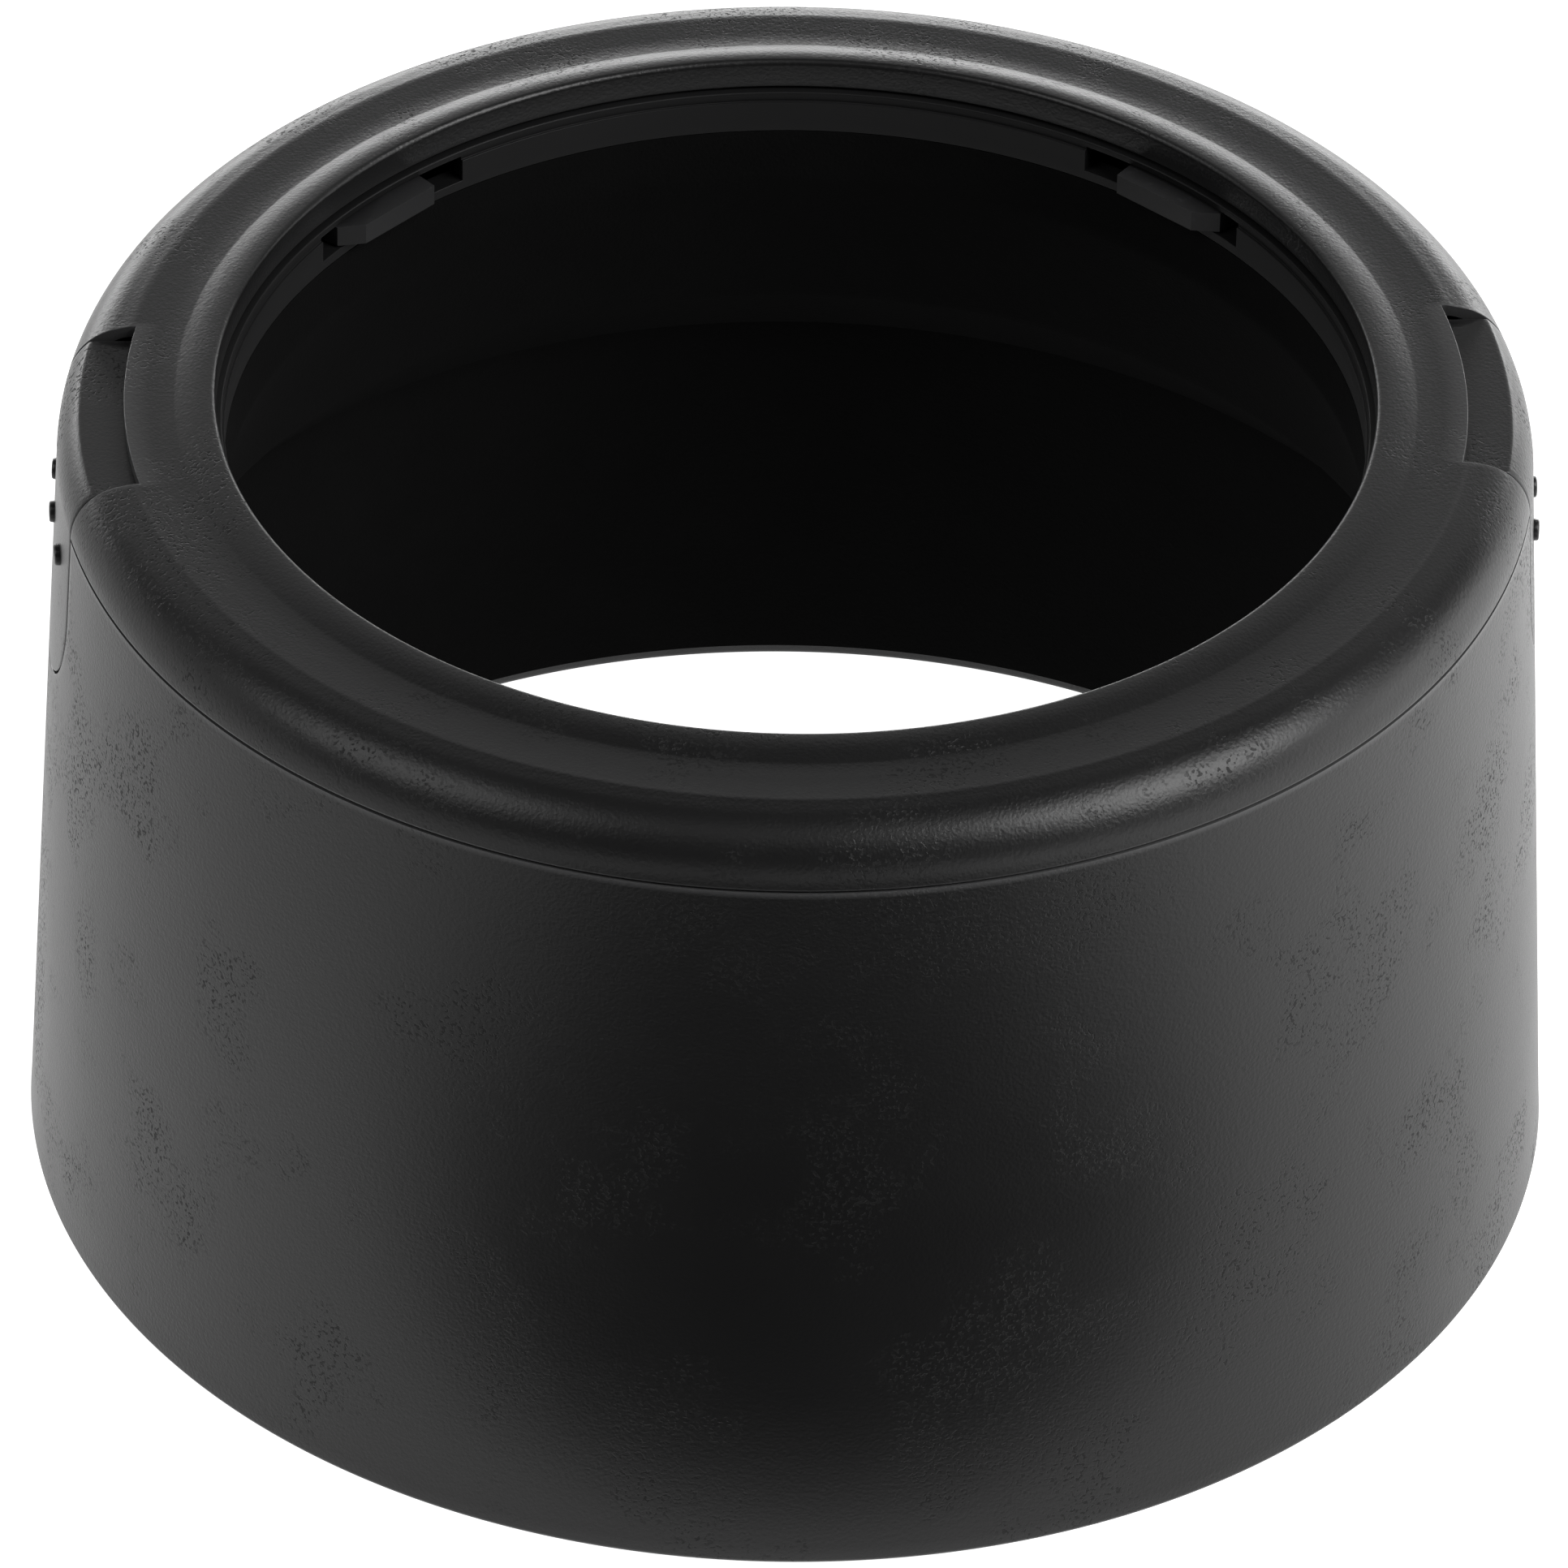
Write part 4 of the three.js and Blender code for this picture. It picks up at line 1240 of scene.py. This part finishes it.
def ruffle(made, fixed_heights):
    """Lets the pile stand up by a few hundredths of a millimetre, unevenly."""
    rise = 0.035 * MM
    coarse, fine = 0.6 * MM, 0.25 * MM
    mesh = made.data
    normals = [normal.vector.copy() for normal in mesh.vertex_normals]
    lifted = []
    for vert, normal in zip(mesh.vertices, normals):
        co = vert.co.copy()
        inward = normal.x * co.x + normal.y * co.y < 0
        if inward and round(co.z, 7) not in fixed_heights:
            lift = 0.5 + 0.5 * noise.noise(co / coarse) + 0.3 * noise.noise(co / fine)
            co += normal * rise * lift
        lifted.extend(co)
    mesh.vertices.foreach_set("co", lifted)
    mesh.update()


def make_rear_lining():
    outer = lining_recess - seat_gap
    return lining(
        "flocked_rear",
        [
            (outer, at(sleeve_bottom)),
            (outer, at(flange_bottom + seat_gap)),
            (cone_inner_end - seat_gap, at(chamber_depth)),
            (inner_wall(at(flare_end)) - 2 * seat_gap, at(flare_end - seat_gap)),
        ],
    )


def make_front_lining():
    top = at(flare_end + seat_gap)
    bottom = 1.05 * MM
    return lining(
        "flocked_front",
        [(inner_wall(top) - seat_gap, top), (inner_wall(bottom) - seat_gap, bottom)],
    )


# ---------------------------------------------------------------- springs and screws

def make_spring(name, y, depth, turned_round):
    """A closed-end coil spring along X between the claw ring's seat and the yoke's pad."""
    wire = 0.15 * MM
    radius = 0.95 * MM - wire
    start = spring_seat + seat_gap + wire
    length = spring_end - wire - start
    turns = 6
    steps, sides = 260, 10
    lines = []
    for i in range(steps + 1):
        share = i / steps
        # Both ends close up: the coil advances less over its first and last turn.
        climb = share - 0.1 * math.sin(TURN * share)
        angle = TURN * turns * share
        outward = Vector((0, math.cos(angle), math.sin(angle)))
        sideways = Vector((0, -math.sin(angle), math.cos(angle)))
        centre = Vector((start + length * climb, y, at(depth))) + outward * radius
        along = (Vector((length / (TURN * turns), 0, 0)) + sideways * radius).normalized()
        across = along.cross(outward).normalized()
        around = [TURN * k / sides for k in range(sides)]
        lines.append([tuple(centre + (outward * math.cos(a) + across * math.sin(a)) * wire) for a in around])
    mesher = Mesher()
    mesher.strip(lines, closed=True)
    mesher.polygon(lines[0])
    mesher.polygon(lines[-1])
    made = mesher.build(name, "spring_steel")
    return half_turn(made) if turned_round else made


def screw_mesher(head, head_wall, shank, length):
    """A pan-head thread-forming screw along +Z from the top of its head, with a helical thread."""
    mesher = Mesher()
    steps, rows_per_pitch = 32, 8
    pitch, thread = 0.5 * MM, 0.1 * MM
    centre = 0.0001 * MM
    under_edge = 0.06 * MM
    run_in, run_out = 0.3 * MM, 0.25 * MM
    tip_share, tip_length = 0.35, 1.2 * MM
    crown = [
        (centre, 0),
        (head * 0.55, 0.01 * MM),
        (head * 0.85, 0.08 * MM),
        (head * 0.97, 0.26 * MM),
        (head, 0.45 * MM),
        (head, head_wall - under_edge),
        (head - under_edge, head_wall),
        (shank, head_wall),
    ]
    lines = [ring(r, z, steps) for r, z in crown]
    rows = int(length / pitch * rows_per_pitch)
    for k in range(rows + 1):
        z = head_wall + length * k / rows
        left = head_wall + length - z
        taper = min(1, tip_share + left / tip_length * (1 - tip_share))
        fade = min(1, (z - head_wall) / run_in) * min(1, left / run_out)
        line = []
        for i in range(steps):
            phase = ((z - head_wall) / pitch - i / steps) % 1
            crest = max(0, 1 - abs(phase - 0.5) * 4)
            line.append(point((shank - thread + thread * crest * fade) * taper, TURN * i / steps, z))
        lines.append(line)
    lines.append(ring(centre, head_wall + length, steps))
    mesher.strip(lines, closed=True)
    mesher.polygon(lines[0])
    mesher.polygon(lines[-1])
    return mesher


def make_screw(name, head, head_wall, shank, length, matrix):
    """A screw with a tapered cross recess in its head, set in place by the matrix."""
    recess = []
    above, bottom, bottom_share = -0.2 * MM, head_wall * 0.55, 0.72
    long_half, short_half = head * 0.6, head * 0.13
    for wide, tall in ((long_half, short_half), (short_half, long_half)):
        bar = Mesher()
        lines = []
        for z, share in ((above, 1), (bottom, bottom_share)):
            x, y = wide * share, tall * share
            lines.append([(x, y, z), (-x, y, z), (-x, -y, z), (x, -y, z)])
        bar.strip(lines, closed=True)
        bar.polygon(lines[0])
        bar.polygon(lines[1])
        recess.append(("DIFFERENCE", bar))
    whole = screw_mesher(head, head_wall, shank, length).build(name, "screw_steel", corner=50)
    carve(whole, "screw_steel", recess)
    mark_edges(whole)
    whole.data.transform(matrix)
    return whole


# ---------------------------------------------------------------- assembly

def put(made, body, slot, *nodes):
    """Rides a piece on its body, in place of the CAD nodes that it stands for."""
    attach(made, body)
    if nodes:
        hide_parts(*nodes)
    return made


barrel = make_barrel().build("barrel_shell", "grained_plastic")
weigh_normals(barrel)
put(barrel, "hood", "grained_plastic", "barrel")

cap = make_cap().build("cap_shell", "grained_plastic", bevel=edge_round)
put(cap, "hood", "grained_plastic", "mount_cap")
cap_underside = make_cap_underside().build("cap_tongues_and_bosses", "grained_plastic")
put(cap_underside, "hood", "grained_plastic")

claw_ring = sleeve_mesher().build("claw_sleeve", "plain_plastic", bevel=0.04 * MM)
put(claw_ring, "hood", "plain_plastic", "claw_ring")
put(make_flange(), "hood", "plain_plastic")

put(make_rear_lining(), "hood", "flock", "rear_lining")
put(make_front_lining(), "hood", "flock", "front_lining")

sides = [
    SimpleNamespace(name="right", yoke="lower", band=lower_band, back=False),
    SimpleNamespace(name="left", yoke="upper", band=upper_band, back=True),
]
for side in sides:
    body = f"{side.name}_release"
    middle = side.band + yoke_wall / 2
    put(make_yoke(f"{side.yoke}_claw_yoke", side.band, side.back), body, "yoke_plastic", f"{side.yoke}_yoke")
    button = make_button(f"{side.name}_push_button", side.band, side.back)
    put(button, body, "grained_plastic", f"{side.name}_button")
    for number, y in ((1, -spring_offset), (2, spring_offset)):
        spring = make_spring(f"{side.name}_coil_{number}", y, middle, side.back)
        put(spring, "hood", "spring_steel", f"{side.name}_spring_{number}")
        seat = (spring_seat + seat_gap) * (-1 if side.back else 1)
        rest_length = spring_end - abs(seat)
        keep = (rest_length - travel) / rest_length
        at(middle)
        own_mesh(spring)
    head, head_wall, shank = 1 * MM, 0.75 * MM, 0.55 * MM
    length = seam_radius - button_wall / 2 - pad_inner - 2 * fit_gap
    place = Matrix.Translation((pad_inner - head_wall - seat_gap, 0, at(middle)))
    across = place @ Matrix.Rotation(math.pi / 2, 4, "Y")
    if side.back:
        across = Matrix.Rotation(math.pi, 4, "Z") @ across
    screw = make_screw(f"{side.name}_yoke_screw", head, head_wall, shank, length, across)
    put(screw, body, "screw_steel", f"{side.name}_button_screw")

for number, angle in enumerate(screw_angles, start=1):
    head, head_wall = 1.3 * MM, 0.9 * MM
    length = flange_bottom - ring_screw_tip
    upward = Matrix.Translation(point(screw_circle, angle, at(flange_bottom + seat_gap) - head_wall))
    screw = make_screw(f"ring_screw_{number}", head, head_wall, screw_radius, length, upward)
    put(screw, "hood", "screw_steel", f"cap_screw_{number}")


# ---------------------------------------------------------------- studio

def make_floor():
    """A broad floor, a hair below the hood's rim."""
    reach = 3.0
    mesh = bpy.data.meshes.new("studio_floor")
    corners = [(-reach, -reach, 0), (reach, -reach, 0), (reach, reach, 0), (-reach, reach, 0)]
    mesh.from_pydata(corners, [], [(0, 1, 2, 3)])
    mesh.materials.append(studio_floor())
    floor = bpy.data.objects.new("studio_floor", mesh)
    bpy.context.scene.collection.objects.link(floor)
    floor.location.z = -0.02 * MM


def make_light(name, azimuth, elevation, distance, size, watts):
    """A soft panel that faces the hood. Azimuth 0 is in front, towards -Y, and 90 is on +X."""
    data = bpy.data.lights.new(name, "AREA")
    data.shape = "RECTANGLE"
    data.size, data.size_y = size
    data.energy = watts
    lamp = bpy.data.objects.new(name, data)
    bpy.context.scene.collection.objects.link(lamp)
    a, e = math.radians(azimuth), math.radians(elevation)
    away = Vector((math.sin(a) * math.cos(e), -math.cos(a) * math.cos(e), math.sin(e)))
    lamp.location = Vector((0, 0, face_height / 2)) + away * distance
    lamp.rotation_mode = "QUATERNION"
    lamp.rotation_quaternion = away.to_track_quat("Z", "Y")


def make_studio():
    make_floor()
    make_light("left_panel", azimuth=-100, elevation=8, distance=0.6, size=(0.5, 0.26), watts=0.3)
    make_light("left_high_panel", azimuth=-70, elevation=42, distance=0.7, size=(0.4, 0.4), watts=1.8)
    make_light("right_panel", azimuth=92, elevation=6, distance=0.6, size=(0.5, 0.26), watts=1.2)
    make_light("right_high_panel", azimuth=62, elevation=42, distance=0.7, size=(0.4, 0.4), watts=6)
    make_light("back_panel", azimuth=180, elevation=4, distance=0.9, size=(1.8, 0.22), watts=9)
    make_light("top_panel", azimuth=180, elevation=46, distance=0.9, size=(1.4, 0.4), watts=1.6)
    make_light("front_panel", azimuth=5, elevation=62, distance=0.8, size=(0.5, 0.4), watts=0.3)
    world = bpy.data.worlds.new("studio")
    world.use_nodes = True
    background = world.node_tree.nodes["Background"]
    background.inputs["Color"].default_value = (1, 1, 1, 1)
    background.inputs["Strength"].default_value = 0.05
    bpy.context.scene.world = world
    bpy.context.scene.view_settings.view_transform = "Standard"


make_studio()
